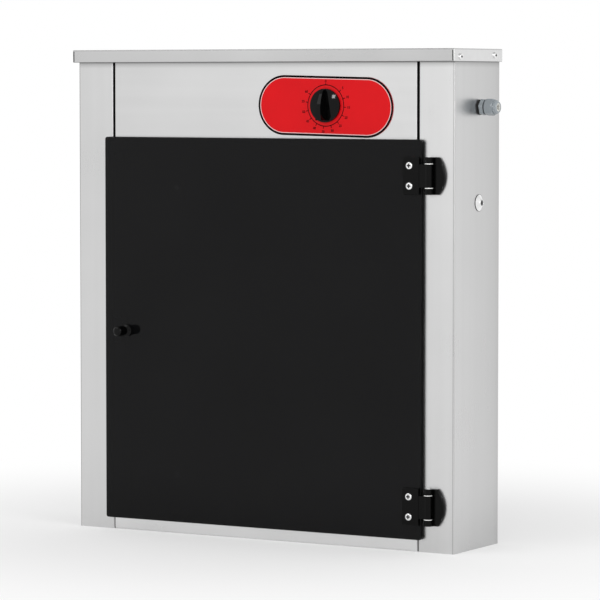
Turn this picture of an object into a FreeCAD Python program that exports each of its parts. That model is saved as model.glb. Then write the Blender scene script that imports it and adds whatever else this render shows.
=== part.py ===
"""Wall cabinet that keeps kitchen knives clean under an ultraviolet tube.

A shallow folded steel box with one black see-through door on the right-hand hinges, a clockwork
timer above the door, a tube with its guard inside, and a comb that the knives hang from.

Frame: millimetres, origin in the middle of the cabinet's underside, +X to the viewer's right,
+Y towards the wall, +Z up.
"""

import FreeCAD, Part
import math
import os

V = FreeCAD.Vector

# Driving dimensions of the cabinet
BODY_WIDTH = 550.0
BODY_DEPTH = 120.0
BODY_HEIGHT = 604.0
CAP_HEIGHT = 16.0
CAP_SIDE_OVERHANG = 3.5
CAP_FRONT_OVERHANG = 9.3
SHEET = 1.0
FOLD = 2.0
GAP = 0.1
SIDE = BODY_WIDTH / 2
FRONT = -BODY_DEPTH / 2
WALL = BODY_DEPTH / 2
INNER = SIDE - SHEET - GAP
NOTCH_PLAY = 0.3
PANEL_TOP = BODY_HEIGHT + CAP_HEIGHT - SHEET - 1.5

# Front of the cabinet: two flanges, the fascia between them, and the opening below it
LEFT_SEAM = -220.8
RIGHT_SEAM = 223.8
SEAM_HALF_GAP = 1.3
FASCIA_LEFT = LEFT_SEAM + SEAM_HALF_GAP
FASCIA_RIGHT = RIGHT_SEAM - SEAM_HALF_GAP
FLANGE_LEFT = LEFT_SEAM - SEAM_HALF_GAP
FLANGE_RIGHT = RIGHT_SEAM + SEAM_HALF_GAP
MIDDLE = (FASCIA_LEFT + FASCIA_RIGHT) / 2
OPENING_BOTTOM = 25.0
OPENING_TOP = 500.0
LEDGE_DEPTH = 14.0
RETURN_DEPTH = 12.0
REAR_FLANGE = 20.0
BACK_PLANE = WALL - SHEET - GAP
BACK_HALF_WIDTH = SIDE - FOLD - 0.2
DIVIDER_TOP = OPENING_TOP + 2 * SHEET + GAP

# Door
DOOR_LEFT = -230.6
DOOR_RIGHT = 232.3
DOOR_BOTTOM = 15.4
DOOR_TOP = 508.5
DOOR_FRONT = -66.5
DOOR_THICK = 5.0
DOOR_BACK = DOOR_FRONT + DOOR_THICK
DOOR_CORNER = 3.0
SEAL_INSET = 1.0
SEAL_WIDTH = 6.0
DOOR_PLAY = 0.3
STRIKE_THICK = 2.0

# Hinges: the pin axis, the two heights, and the block sizes
PIN_X = 242.4
PIN_Y = DOOR_FRONT
PIN_RADIUS = 2.5
HINGE_CENTRES = {"upper": 464.2, "lower": 56.6}
HINGE_HALF = 23.0
BARREL_RADIUS = 4.9
MIDDLE_KNUCKLE = 14.2
HINGE_WASHER = 0.9
HINGE_PLAY = 0.3
HINGE_SCREW_PITCH = 25.0
LEAF_LEFT = 207.8
LEAF_RIGHT = 230.6
LEAF_THICK = 4.0
LEAF_SCREW_X = 217.4
COVER_SCREW_X = 256.5
COVER_FRONT = FRONT - 5.5
PLATE_THICK = 3.0
COVER_TIP = 262.9
COVER_SHOULDER = 254.3

# Door knob, catch and door switch
KNOB_X = -198.1
KNOB_Z = 259.2
CATCH_Z = 259.2
SWITCH_X = -212.0
SWITCH_Z = 484.0
SWITCH_FRONT = FRONT + 4.0
SWITCH_REAR = SWITCH_FRONT + 22.0
SWITCH_SCREW_Y = FRONT + 9.0
PLUNGER_RADIUS = 2.0
CATCH_WIDTH = 12.5
CATCH_SCREW_Y = FRONT + 7.0
CATCH_SCREW_DZ = (-10.0, 10.0)

# Timer and its label
TIMER_X = 94.0
TIMER_Z = 549.7
LABEL_LEFT = -3.2
LABEL_RIGHT = 189.6
LABEL_BOTTOM = 511.3
LABEL_TOP = 586.3
LABEL_TILT = 1.3
LABEL_THICK = 0.8
DIAL_KNOB_RADIUS = 21.0
SPINDLE_RADIUS = 3.0
TIMER_SCREW_OFFSET = 14.0
TAB_PITCH = 14.0
TAB_Z = TIMER_Z - 10.0

# Tube, holders and guard: a standard 438 mm, 26 mm diameter tube with two-pin caps
TUBE_LENGTH = 437.4
TUBE_RADIUS = 13.0
TUBE_Y = 20.0
TUBE_Z = 477.0
CAP_LENGTH = 18.0
TUBE_PIN_RADIUS = 1.2
TUBE_PIN_PITCH = 12.7
TUBE_PIN_LENGTH = 7.1
ROTOR_RADIUS = 8.92
ROTOR_BORE = 9.0
REFLECTOR_TOP = OPENING_TOP + SHEET - GAP
GUARD_RADIUS = 21.0
GUARD_WIRE = 1.3
GUARD_LONG_WIRE = 1.0
GUARD_PITCH = 80.0

# Knife comb
RACK_Z = 350.0
RACK_SHEET = 1.5
RACK_SCREW_Z = RACK_Z + 20.0
RACK_FRONT = -46.0
RACK_LEFT = -205.0
RACK_RIGHT = 208.0
SLOT_COUNT = 10
SLOT_PITCH = 40.0
SLOT_WIDTH = 7.0
SLOT_DEPTH = 52.0

# Cable gland and the plugged side fixing
GLAND_Y = 7.4
GLAND_Z = 547.9
GLAND_THREAD_RADIUS = 7.9
GLAND_BORE_RADIUS = 4.6
SEAL_BORE_RADIUS = 3.4
SEAL_RADIUS = 5.5
SEAL_START = SIDE + 14.9
SEAL_LENGTH = 10.0
FLANGE_TURN = -10.0
NUT_TURN = -15.0
SIDE_SCREW_Y = 3.9
SIDE_SCREW_Z = 429.9

# Ballast, and the height of the leads at its terminals
BALLAST_LEFT = -170.0
BALLAST_RIGHT = -30.0
BALLAST_FRONT = 5.0
BALLAST_DEPTH = 40.0
BALLAST_HEIGHT = 30.0
BALLAST_SCREW_X = (BALLAST_LEFT - 6.0, BALLAST_RIGHT + 6.0)
BALLAST_SCREW_Y = 25.0
EAR_THICK = 1.5
LEAD_Z = DIVIDER_TOP + 12.0

# Fixings
CAP_SCREW_SPOTS = ((-53.0, 609.7), (39.0, 612.0))
WALL_HOLE_RADIUS = 3.25
WALL_HOLE_X = 200.0
WALL_HOLE_Z = (60.0, 440.0)
BACK_SCREW_X = 264.5
BACK_SCREW_Z = (35.0, 215.0, 395.0, 575.0)
M3 = 1.5
M4 = 2.0
M5 = 2.5


# Shape helpers

def block(x0, x1, y0, y1, z0, z1):
    """Box between two corners."""
    return Part.makeBox(x1 - x0, y1 - y0, z1 - z0, V(x0, y0, z0))


def rod(x, y, z, axis, length, radius):
    """Cylinder from a point along +X, +Y or +Z, or backwards for a negative length."""
    direction = {"X": V(1, 0, 0), "Y": V(0, 1, 0), "Z": V(0, 0, 1)}[axis]
    if length < 0:
        direction = direction * -1
    return Part.makeCylinder(radius, abs(length), V(x, y, z), direction)


def cone(x, y, z, axis, length, r_start, r_end):
    """Cone or tapered rod from a point along +X, +Y or +Z, or backwards for a negative length."""
    direction = {"X": V(1, 0, 0), "Y": V(0, 1, 0), "Z": V(0, 0, 1)}[axis]
    if length < 0:
        direction = direction * -1
    return Part.makeCone(r_start, r_end, abs(length), V(x, y, z), direction)


def place(point, axis, level):
    """Point of a flat outline, put in the plane square to the axis."""
    a, b = point
    return {"X": V(level, a, b), "Y": V(a, level, b), "Z": V(a, b, level)}[axis]


def outline_face(points, radii, axis, level):
    """Closed outline with its corners rounded by tangent arcs."""
    count = len(points)
    if not isinstance(radii, (list, tuple)):
        radii = [radii] * count
    corners = []
    for index, point in enumerate(points):
        before = V(points[index - 1][0], points[index - 1][1], 0)
        here = V(point[0], point[1], 0)
        after = V(points[(index + 1) % count][0], points[(index + 1) % count][1], 0)
        incoming = (here - before).normalize()
        outgoing = (after - here).normalize()
        turn = incoming.getAngle(outgoing)
        if radii[index] <= 0 or turn < 1e-6:
            corners.append((here, None, here))
            continue
        reach = radii[index] * math.tan(turn / 2)
        inward = (outgoing - incoming).normalize()
        centre = here + inward * (radii[index] / math.cos(turn / 2))
        corners.append((here - incoming * reach, centre - inward * radii[index], here + outgoing * reach))
    edges = []
    for index, (start, middle, end) in enumerate(corners):
        following = corners[(index + 1) % count][0]
        start3, end3 = place((start.x, start.y), axis, level), place((end.x, end.y), axis, level)
        if middle is not None:
            edges.append(Part.Arc(start3, place((middle.x, middle.y), axis, level), end3).toShape())
        next3 = place((following.x, following.y), axis, level)
        if (next3 - end3).Length > 1e-6:
            edges.append(Part.LineSegment(end3, next3).toShape())
    return Part.Face(Part.Wire(edges))


def rectangle(a0, a1, b0, b1):
    """Corners of an upright rectangle, anticlockwise."""
    return [(a0, b0), (a1, b0), (a1, b1), (a0, b1)]


def prism(points, radii, axis, low, high):
    """Rounded outline pushed out along an axis."""
    direction = {"X": V(1, 0, 0), "Y": V(0, 1, 0), "Z": V(0, 0, 1)}[axis]
    return outline_face(points, radii, axis, low).extrude(direction * (high - low))


def folded(path, thickness, axis, low, high, fold=FOLD):
    """Folded sheet: a path along its outer faces, thickened to the left, or to the right if negative."""
    steps = [V(b[0] - a[0], b[1] - a[1], 0).normalize() for a, b in zip(path, path[1:])]
    sign = 1 if thickness > 0 else -1
    gauge = abs(thickness)
    normals = [V(-s.y, s.x, 0) * sign for s in steps]
    offset, outer_radii, inner_radii = [], [], []
    for index, point in enumerate(path):
        here = V(point[0], point[1], 0)
        if index == 0 or index == len(path) - 1:
            normal = normals[0] if index == 0 else normals[-1]
            offset.append(here + normal * gauge)
            outer_radii.append(0)
            inner_radii.append(0)
            continue
        first, second = normals[index - 1], normals[index]
        mitre = (first + second).normalize()
        offset.append(here + mitre * (gauge / mitre.dot(first)))
        turn = steps[index - 1].x * steps[index].y - steps[index - 1].y * steps[index].x
        bends_in = turn * sign > 0
        outer_radii.append(fold if bends_in else fold - gauge)
        inner_radii.append(fold - gauge if bends_in else fold)
    points = list(path) + [(p.x, p.y) for p in reversed(offset)]
    return prism(points, outer_radii + inner_radii[::-1], axis, low, high)


def join(*shapes):
    """One solid from touching pieces."""
    merged = shapes[0].multiFuse(list(shapes[1:])) if len(shapes) > 1 else shapes[0]
    return merged.removeSplitter()


def cut(shape, *tools):
    """Shape less its holes and notches."""
    return shape.cut(list(tools)) if tools else shape


def group(shapes):
    """Separate solids that share a node."""
    return Part.makeCompound(list(shapes))


def ease(shape, radius, chosen):
    """Round the edges that the test picks."""
    edges = [edge for edge in shape.Edges if chosen(edge)]
    return shape.makeFillet(radius, edges)


def edge_at(axis, level, slack=0.01):
    """Test for edges that lie wholly in the plane axis = level."""
    def test(edge):
        box = edge.BoundBox
        low = getattr(box, axis + "Min")
        high = getattr(box, axis + "Max")
        return abs(low - level) < slack and abs(high - level) < slack
    return test


def turned(profile, x, y, z, axis):
    """Solid of revolution: (distance along the axis, radius) points, spun about the axis."""
    along = {"X": V(1, 0, 0), "Y": V(0, 1, 0), "Z": V(0, 0, 1)}[axis]
    across = {"X": V(0, 1, 0), "Y": V(1, 0, 0), "Z": V(1, 0, 0)}[axis]
    base = V(x, y, z)
    points = [base + along * a + across * r for a, r in profile]
    face = Part.Face(Part.makePolygon(points + points[:1]))
    return face.revolve(base, along, 360)


def hexagon(x, y, z, axis, length, across_flats, turn=0.0):
    """Hexagonal bar along an axis."""
    radius = across_flats / math.sqrt(3)
    centre = {"X": (y, z), "Y": (x, z), "Z": (x, y)}[axis]
    level = {"X": x, "Y": y, "Z": z}[axis]
    points = []
    for corner in range(6):
        angle = math.radians(60 * corner + turn)
        points.append((centre[0] + radius * math.cos(angle), centre[1] + radius * math.sin(angle)))
    low, high = min(level, level + length), max(level, level + length)
    return prism(points, 0, axis, low, high)


def pan_screw(x, y, z, axis, towards, radius, length, head_radius, head_height, slot=True):
    """Pan-head cross-recessed screw: the head's seat is at the point, the shank runs 'towards'."""
    shank = rod(x, y, z, axis, towards * length, radius)
    head = rod(x, y, z, axis, -towards * head_height, head_radius)
    outer = {"X": x, "Y": y, "Z": z}[axis] - towards * head_height
    head = ease(head, head_height * 0.55, lambda e: edge_at(axis, outer)(e) and len(e.Vertexes) == 1)
    screw = join(shank, head)
    if not slot:
        return screw
    depth = head_height * 0.65
    arm, width = head_radius * 0.56, head_radius * 0.19
    low, high = sorted((outer, outer + towards * depth))
    for half_a, half_b in ((arm, width), (width, arm)):
        if axis == "X":
            tool = block(low, high, y - half_a, y + half_a, z - half_b, z + half_b)
        elif axis == "Y":
            tool = block(x - half_a, x + half_a, low, high, z - half_b, z + half_b)
        else:
            tool = block(x - half_a, x + half_a, y - half_b, y + half_b, low, high)
        screw = screw.cut(tool)
    return screw


def ring(x, y, z, axis, length, radius, bore):
    """Washer or plain tube."""
    return rod(x, y, z, axis, length, radius).cut(rod(x, y, z, axis, length, bore))


def hex_nut(x, y, z, axis, length, across_flats, bore):
    """Hexagonal nut with a plain bore."""
    return hexagon(x, y, z, axis, length, across_flats).cut(rod(x, y, z, axis, length, bore))


def bent_wire(points, radius):
    """Held wire: straight runs joined by tangent arcs as large as the runs allow."""
    points = [V(*p) for p in points]
    runs = [(b - a) for a, b in zip(points, points[1:])]
    edges, start = [], points[0]
    for index in range(1, len(points) - 1):
        incoming, outgoing = V(runs[index - 1]).normalize(), V(runs[index]).normalize()
        turn = incoming.getAngle(outgoing)
        reach = 0.45 * min(runs[index - 1].Length, runs[index].Length)
        bend = reach / math.tan(turn / 2)
        inward = (outgoing - incoming).normalize()
        centre = points[index] + inward * (bend / math.cos(turn / 2))
        begin, finish = points[index] - incoming * reach, points[index] + outgoing * reach
        edges.append(Part.LineSegment(start, begin).toShape())
        edges.append(Part.Arc(begin, centre - inward * bend, finish).toShape())
        start = finish
    edges.append(Part.LineSegment(start, points[-1]).toShape())
    path = Part.Wire(edges)
    section = Part.Wire(Part.makeCircle(radius, points[0], runs[0]))
    return path.makePipeShell([section], True, False)


# Cabinet shell

def side_panel(sign):
    """Side wall with its front flange, the flange's return, and a rear flange."""
    inner_edge = FLANGE_LEFT if sign < 0 else FLANGE_RIGHT
    path = [(inner_edge, FRONT + RETURN_DEPTH), (inner_edge, FRONT), (sign * SIDE, FRONT),
            (sign * SIDE, WALL), (sign * (SIDE - REAR_FLANGE), WALL)]
    panel = folded(path, sign * SHEET, "Z", 0, PANEL_TOP)
    low, high = sorted((sign * (SIDE + GAP), sign * (SIDE - REAR_FLANGE - GAP)))
    panel = panel.cut(block(low, high, WALL - SHEET - 2 * GAP, WALL + GAP, BODY_HEIGHT - 0.4, PANEL_TOP + 1))
    through = sign * (SIDE + 1)
    holes = [rod(through, y, z, "X", -sign * 4, M4 + 0.2) for y, z in CAP_SCREW_SPOTS]
    for z in BACK_SCREW_Z:
        holes.append(rod(sign * BACK_SCREW_X, WALL - 2, z, "Y", 3, M3 + 0.1))
    if sign < 0:
        for dz in CATCH_SCREW_DZ:
            holes.append(rod(inner_edge - 3, CATCH_SCREW_Y, CATCH_Z + dz, "X", 5, M3 + 0.1))
    else:
        holes.append(rod(through, GLAND_Y, GLAND_Z, "X", -4, GLAND_THREAD_RADIUS + GAP))
        holes.append(rod(through, SIDE_SCREW_Y, SIDE_SCREW_Z, "X", -4, M4 + 0.2))
        for centre in HINGE_CENTRES.values():
            for half in (-1, 1):
                z = centre + half * HINGE_SCREW_PITCH / 2
                holes.append(rod(COVER_SCREW_X, FRONT - 1, z, "Y", 3, M4 + 0.2))
    return cut(panel, *holes)


def control_fascia():
    """Front panel of the electrics compartment, folded back along both sides and below."""
    path = [(FASCIA_LEFT, FRONT + RETURN_DEPTH), (FASCIA_LEFT, FRONT), (FASCIA_RIGHT, FRONT),
            (FASCIA_RIGHT, FRONT + RETURN_DEPTH)]
    front = folded(path, SHEET, "Z", OPENING_TOP, PANEL_TOP, fold=1.5)
    inset = 0.5
    shelf = block(FASCIA_LEFT + inset, FASCIA_RIGHT - inset, FRONT + inset, FRONT + LEDGE_DEPTH,
                  OPENING_TOP, OPENING_TOP + SHEET)
    fascia = join(front, shelf)
    holes = [rod(TIMER_X, FRONT - 1, TIMER_Z, "Y", 3, 5.0)]
    for offset in (-TIMER_SCREW_OFFSET, TIMER_SCREW_OFFSET):
        holes.append(rod(TIMER_X + offset, FRONT - 1, TIMER_Z, "Y", 3, M4 + 0.2))
    holes.append(rod(SWITCH_X, SWITCH_SCREW_Y, OPENING_TOP - 1, "Z", 3, M3 + 0.1))
    return cut(fascia, *holes)


def return_notches(level, height, include_fascia):
    """Corner notches that let a shelf pass the folded returns at the front."""
    reach = FRONT + RETURN_DEPTH + NOTCH_PLAY
    inward = SEAM_HALF_GAP * 2 + SHEET + NOTCH_PLAY if include_fascia else NOTCH_PLAY
    low, high = level - 1, level + height + 1
    left = block(FLANGE_LEFT - FOLD - NOTCH_PLAY, FLANGE_LEFT + inward, FRONT, reach, low, high)
    right = block(FLANGE_RIGHT - inward, FLANGE_RIGHT + FOLD + NOTCH_PLAY, FRONT, reach, low, high)
    return [left, right]


def corner_notches(low, high):
    """Clearance at the front corners, where the side panels' folds are rounded inside."""
    inside, reach = SIDE - FOLD - NOTCH_PLAY, FRONT + FOLD + NOTCH_PLAY
    return [block(-SIDE, -inside, FRONT, reach, low, high), block(inside, SIDE, FRONT, reach, low, high)]


def base_pan():
    """Floor with the lip that shows under the door, and upturned side and rear edges."""
    rear = BACK_PLANE - SHEET - GAP
    front = FRONT + SHEET + GAP
    upturn, seam = 15.0, 1.3
    lip_left, lip_right = FLANGE_LEFT + seam, FLANGE_RIGHT - seam
    path = [(FRONT + 10, OPENING_BOTTOM), (FRONT, OPENING_BOTTOM), (FRONT, 0), (rear, 0), (rear, upturn)]
    lip = folded(path, SHEET, "X", lip_left, lip_right)
    pieces = [lip]
    for sign, edge in ((-1, lip_left), (1, lip_right)):
        low, high = sorted((sign * INNER, edge - sign * 1.0))
        wing = [(front, 0), (rear, 0), (rear, upturn)]
        wing_sheet = folded(wing, SHEET, "X", low, high)
        wing_sheet = cut(wing_sheet, *return_notches(0, SHEET, False))
        low, high = sorted((sign * INNER, sign * (INNER - SHEET)))
        wall = block(low, high, front, rear - FOLD, 0, upturn)
        pieces += [wing_sheet, wall]
    return cut(join(*pieces), *corner_notches(-1, upturn + 1))


def back_panel():
    """Rear sheet with four wall fixing holes and a row of air slits behind the electrics."""
    low = BACK_PLANE - SHEET
    panel = block(-BACK_HALF_WIDTH, BACK_HALF_WIDTH, low, BACK_PLANE, 0, PANEL_TOP)
    holes = []
    for x in (-WALL_HOLE_X, WALL_HOLE_X):
        for z in WALL_HOLE_Z:
            holes.append(rod(x, low - 1, z, "Y", 3, WALL_HOLE_RADIUS))
    for x in (-BACK_SCREW_X, BACK_SCREW_X):
        for z in BACK_SCREW_Z:
            holes.append(rod(x, low - 1, z, "Y", 3, M3 + 0.1))
    for x in rack_screw_places():
        holes.append(rod(x, low - 1, RACK_SCREW_Z, "Y", 3, M3 + 0.1))
    slit_half, slit_bottom, slit_top, slit_pitch = 1.5, 530.0, 570.0, 14.0
    for index in range(16):
        x = -195.0 + index * slit_pitch
        corners = [(x - slit_half, slit_bottom), (x + slit_half, slit_bottom),
                   (x + slit_half, slit_top), (x - slit_half, slit_top)]
        holes.append(prism(corners, slit_half - 0.05, "Y", low - 1, BACK_PLANE + 1))
    return cut(panel, *holes)


def top_cover():
    """Shallow cap that overhangs the front and sides, with its lower edges folded in."""
    side, front = SIDE + CAP_SIDE_OVERHANG, FRONT - CAP_FRONT_OVERHANG
    top = BODY_HEIGHT + CAP_HEIGHT
    outline = [(-side, front), (side, front), (side, WALL), (-side, WALL)]
    shell = prism(outline, [1.3, 1.3, 0.8, 0.8], "Z", BODY_HEIGHT, top)
    shell = ease(shell, 1.2, edge_at("Z", top))
    shell = ease(shell, 1.0, edge_at("Z", BODY_HEIGHT))
    profile = [(front - 1, BODY_HEIGHT - 1), (WALL, BODY_HEIGHT - 1), (WALL, top), (front - 1, top)]
    shell = shell.common(prism(profile, [0, 0, 2.0, 0], "X", -side - 1, side + 1))
    inner = [(-side + SHEET, front + SHEET), (side - SHEET, front + SHEET),
             (side - SHEET, WALL - SHEET), (-side + SHEET, WALL - SHEET)]
    hollow = prism(inner, [0.5, 0.5, 0, 0], "Z", BODY_HEIGHT + SHEET, top - SHEET)
    mouth = block(-SIDE - 0.25, SIDE + 0.25, FRONT - 0.25, WALL - SHEET, BODY_HEIGHT - 1, BODY_HEIGHT + SHEET)
    holes = []
    for sign in (-1, 1):
        for y, z in CAP_SCREW_SPOTS:
            holes.append(rod(sign * (side + 1), y, z, "X", -sign * 3, M4 + 0.2))
        low, high = sorted((sign * (side - 2.5), sign * (side - 1.5)))
        holes.append(block(low, high, front - 1, front + SHEET + GAP, BODY_HEIGHT - 1, top - 2.0))
    return cut(shell, hollow, mouth, *holes)


def cap_screws():
    """Four pan-head screws through the cap's sides."""
    side = SIDE + CAP_SIDE_OVERHANG
    return group(pan_screw(sign * side, y, z, "X", -sign, M4, 9.0, 4.0, 2.0)
                 for sign in (-1, 1) for y, z in CAP_SCREW_SPOTS)


def back_panel_screws():
    """Screws through the back sheet, heads inside: eight at the edges and three in the comb."""
    seat = BACK_PLANE - SHEET
    edge = [pan_screw(x, seat, z, "Y", 1, M3, 2.0, 3.0, 1.8)
            for x in (-BACK_SCREW_X, BACK_SCREW_X) for z in BACK_SCREW_Z]
    comb = [pan_screw(x, seat - RACK_SHEET, RACK_SCREW_Z, "Y", 1, M3, 3.5, 3.0, 1.8)
            for x in rack_screw_places()]
    return group(edge + comb)


def m4_nuts():
    """Nuts of the cap screws, the hinges' cabinet halves and the side fixing."""
    wall = SIDE - SHEET
    nuts = [hex_nut(sign * wall, y, z, "X", -sign * 3.0, 7.0, M4 + 0.1)
            for sign in (-1, 1) for y, z in CAP_SCREW_SPOTS]
    nuts += [hex_nut(COVER_SCREW_X, FRONT + SHEET, z, "Y", 3.0, 7.0, M4 + 0.1) for z in hinge_screw_heights()]
    nuts.append(hex_nut(wall, SIDE_SCREW_Y, SIDE_SCREW_Z, "X", -3.0, 7.0, M4 + 0.1))
    return group(nuts)


def compartment_divider():
    """Shelf between the chamber and the electrics, with turned-down sides."""
    front, rear = FRONT + SHEET + GAP, BACK_PLANE - SHEET - GAP
    edge = DIVIDER_TOP - 15.0
    path = [(-INNER, edge), (-INNER, DIVIDER_TOP), (INNER, DIVIDER_TOP), (INNER, edge)]
    shelf = folded(path, -SHEET, "Y", front, rear, fold=1.5)
    holes = return_notches(edge, DIVIDER_TOP - edge, True) + corner_notches(edge - 1, DIVIDER_TOP + 1)
    for x in grommet_places():
        holes.append(rod(x, TUBE_Y, DIVIDER_TOP - 3, "Z", 5, 5.0))
    for x, y in reflector_screw_places():
        holes.append(rod(x, y, DIVIDER_TOP - 3, "Z", 5, M3 + 0.1))
    holes.append(rod(SWITCH_X, SWITCH_SCREW_Y, DIVIDER_TOP - 3, "Z", 5, M3 + 0.1))
    return cut(shelf, *holes)


def grommet_places():
    """Where the tube's leads pass down through the shelf."""
    return (MIDDLE - 262.0, MIDDLE + 262.0)


def grommets():
    """Soft rings round the leads in the shelf: two collars joined by a neck."""
    low = DIVIDER_TOP - SHEET
    collar, neck, bore, lip = 7.0, 4.9, 2.3, 1.5
    profile = [(-lip, bore), (-lip, collar), (0, collar), (0, neck), (SHEET, neck), (SHEET, collar),
               (SHEET + lip, collar), (SHEET + lip, bore)]
    return group(turned(profile, x, TUBE_Y, low, "Z") for x in grommet_places())


# Tube and its fittings

def reflector_screw_places():
    """Screws through the reflector and the shelf."""
    return [(MIDDLE + dx, y) for dx in (-185.0, 185.0) for y in (-4.0, 43.0)]


def lamp_reflector():
    """Bright bent sheet above the tube."""
    path = [(-22, REFLECTOR_TOP - 15), (-11, REFLECTOR_TOP), (51, REFLECTOR_TOP), (57, REFLECTOR_TOP - 30)]
    sheet = folded(path, -0.8, "X", MIDDLE - 241, MIDDLE + 241, fold=2.0)
    holes = [rod(x, y, REFLECTOR_TOP - 3, "Z", 5, M3 + 0.1) for x, y in reflector_screw_places()]
    return cut(sheet, *holes)


def shelf_screws():
    """Small screws, heads down, that hold the reflector and the switch angle up to the shelf."""
    seat = REFLECTOR_TOP - 0.8
    screws = [pan_screw(x, y, seat, "Z", 1, M3, 5.0, 3.0, 1.8) for x, y in reflector_screw_places()]
    screws.append(pan_screw(SWITCH_X, SWITCH_SCREW_Y, OPENING_TOP - SHEET, "Z", 1, M3, 6.0, 3.0, 1.8))
    return group(screws)


def lamp_tube():
    """Clear tube of the lamp."""
    half = TUBE_LENGTH / 2 - 2.5
    return ring(MIDDLE - half, TUBE_Y, TUBE_Z, "X", 2 * half, TUBE_RADIUS - 0.35, TUBE_RADIUS - 1.35)


def lamp_caps():
    """Metal caps on both ends of the tube, each with two contact pins."""
    caps = []
    for sign in (-1, 1):
        end = MIDDLE + sign * TUBE_LENGTH / 2
        cap = rod(end, TUBE_Y, TUBE_Z, "X", -sign * CAP_LENGTH, TUBE_RADIUS)
        cap = ease(cap, 1.2, edge_at("X", end))
        cap = cap.cut(rod(end - sign * 2, TUBE_Y, TUBE_Z, "X", -sign * CAP_LENGTH, TUBE_RADIUS - 0.3))
        pins = []
        for side in (-1, 1):
            y = TUBE_Y + side * TUBE_PIN_PITCH / 2
            root = end - sign * 0.5
            pins.append(rod(root, y, TUBE_Z, "X", sign * (TUBE_PIN_LENGTH + 0.5), TUBE_PIN_RADIUS))
        caps.append(join(cap, *pins))
    return group(caps)


def lampholders():
    """Two holders that hang from the reflector and take the pins from below."""
    holders = []
    for sign in (-1, 1):
        face = MIDDLE + sign * (TUBE_LENGTH / 2 + 0.6)
        low, high = sorted((face, face + sign * 16))
        top = REFLECTOR_TOP - 0.8
        half, bottom = 13.0, TUBE_Z - 14.0
        outline = rectangle(TUBE_Y - half, TUBE_Y + half, bottom, top)
        body = prism(outline, [11, 11, 1.5, 1.5], "X", low, high)
        body = ease(body, 1.0, edge_at("X", face + sign * 16))
        pocket = rod(face - sign, TUBE_Y, TUBE_Z, "X", sign * 10, ROTOR_BORE)
        entry_low, entry_high = sorted((face - sign, face + sign * 9))
        entry = block(entry_low, entry_high, TUBE_Y - 1.7, TUBE_Y + 1.7, TUBE_Z - 20, TUBE_Z)
        lead = rod(face + sign * 5, TUBE_Y, TUBE_Z + 14, "X", sign * 12, 2.2)
        holders.append(cut(body, pocket, entry, lead))
    return group(holders)


def lampholder_rotors():
    """Turning cores that close round the pins."""
    rotors = []
    for sign in (-1, 1):
        face = MIDDLE + sign * (TUBE_LENGTH / 2 + 0.6)
        core = rod(face, TUBE_Y, TUBE_Z, "X", sign * 8.6, ROTOR_RADIUS)
        core = ease(core, 0.5, edge_at("X", face))
        slot_low, slot_high = sorted((face - sign, face + sign * 7.2))
        slot = block(slot_low, slot_high, TUBE_Y - 10, TUBE_Y + 10, TUBE_Z - 1.4, TUBE_Z + 1.4)
        rotors.append(core.cut(slot))
    return group(rotors)


def lamp_guard():
    """Wire guard round the tube: five hoops and five thinner long wires welded inside them."""
    leg_top = REFLECTOR_TOP - 0.8
    guard = None
    for step in (-2, -1, 0, 1, 2):
        x = MIDDLE + step * GUARD_PITCH
        circle = Part.Wire(Part.makeCircle(GUARD_WIRE, V(x, TUBE_Y - GUARD_RADIUS, TUBE_Z), V(0, 0, 1)))
        hoop = Part.Face(circle).revolve(V(x, TUBE_Y, TUBE_Z), V(1, 0, 0), 180)
        hoop = hoop.fuse([rod(x, TUBE_Y + side * GUARD_RADIUS, TUBE_Z, "Z", leg_top - TUBE_Z, GUARD_WIRE)
                          for side in (-1, 1)])
        guard = hoop if guard is None else guard.fuse(hoop)
    reach = 2 * GUARD_PITCH + 12.0
    track = GUARD_RADIUS - GUARD_WIRE - GUARD_LONG_WIRE + 0.7
    for degrees in (180, 225, 270, 315, 360):
        angle = math.radians(degrees)
        y = TUBE_Y + track * math.cos(angle)
        z = TUBE_Z + track * math.sin(angle)
        guard = guard.fuse(rod(MIDDLE - reach, y, z, "X", 2 * reach, GUARD_LONG_WIRE))
    return guard


# Knife comb

def rack_screw_places():
    """Screws through the comb's back flange."""
    return [MIDDLE + dx for dx in (-160.0, 0.0, 160.0)]


def slot_centres():
    """Middle of every knife slot."""
    return [MIDDLE + (index - (SLOT_COUNT - 1) / 2) * SLOT_PITCH for index in range(SLOT_COUNT)]


def knife_rack():
    """Comb of fingers, open to the front, that knives hang in by their handles."""
    rear = BACK_PLANE - SHEET
    rack = folded([(RACK_FRONT, RACK_Z), (rear, RACK_Z), (rear, RACK_Z + 35)], RACK_SHEET, "X",
                  RACK_LEFT, RACK_RIGHT, fold=3.0)
    mouth = 5.0
    slots = []
    for x in slot_centres():
        half = SLOT_WIDTH / 2
        end = RACK_FRONT + SLOT_DEPTH
        outline = [(x - half - mouth, RACK_FRONT - 1), (x + half + mouth, RACK_FRONT - 1),
                   (x + half, RACK_FRONT + mouth + 3), (x + half, end), (x - half, end),
                   (x - half, RACK_FRONT + mouth + 3)]
        slots.append(prism(outline, [0, 0, 3.0, half - 0.05, half - 0.05, 3.0], "Z", RACK_Z - 1, RACK_Z + 3))
    corner_radius = 6.0
    for x, sign in ((RACK_LEFT, 1), (RACK_RIGHT, -1)):
        centre, centre_y = x + sign * corner_radius, RACK_FRONT + corner_radius
        corner = block(min(x, centre), max(x, centre), RACK_FRONT - 1, centre_y, RACK_Z - 1, RACK_Z + 3)
        slots.append(corner.cut(rod(centre, centre_y, RACK_Z - 1, "Z", 4, corner_radius)))
    for x in rack_screw_places():
        slots.append(rod(x, rear - 4, RACK_SCREW_Z, "Y", 6, M3 + 0.1))
    return cut(rack, *slots)


# Door

def hinge_screw_heights():
    """Height of every hinge screw."""
    return [centre + half * HINGE_SCREW_PITCH / 2 for centre in HINGE_CENTRES.values() for half in (-1, 1)]


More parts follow.
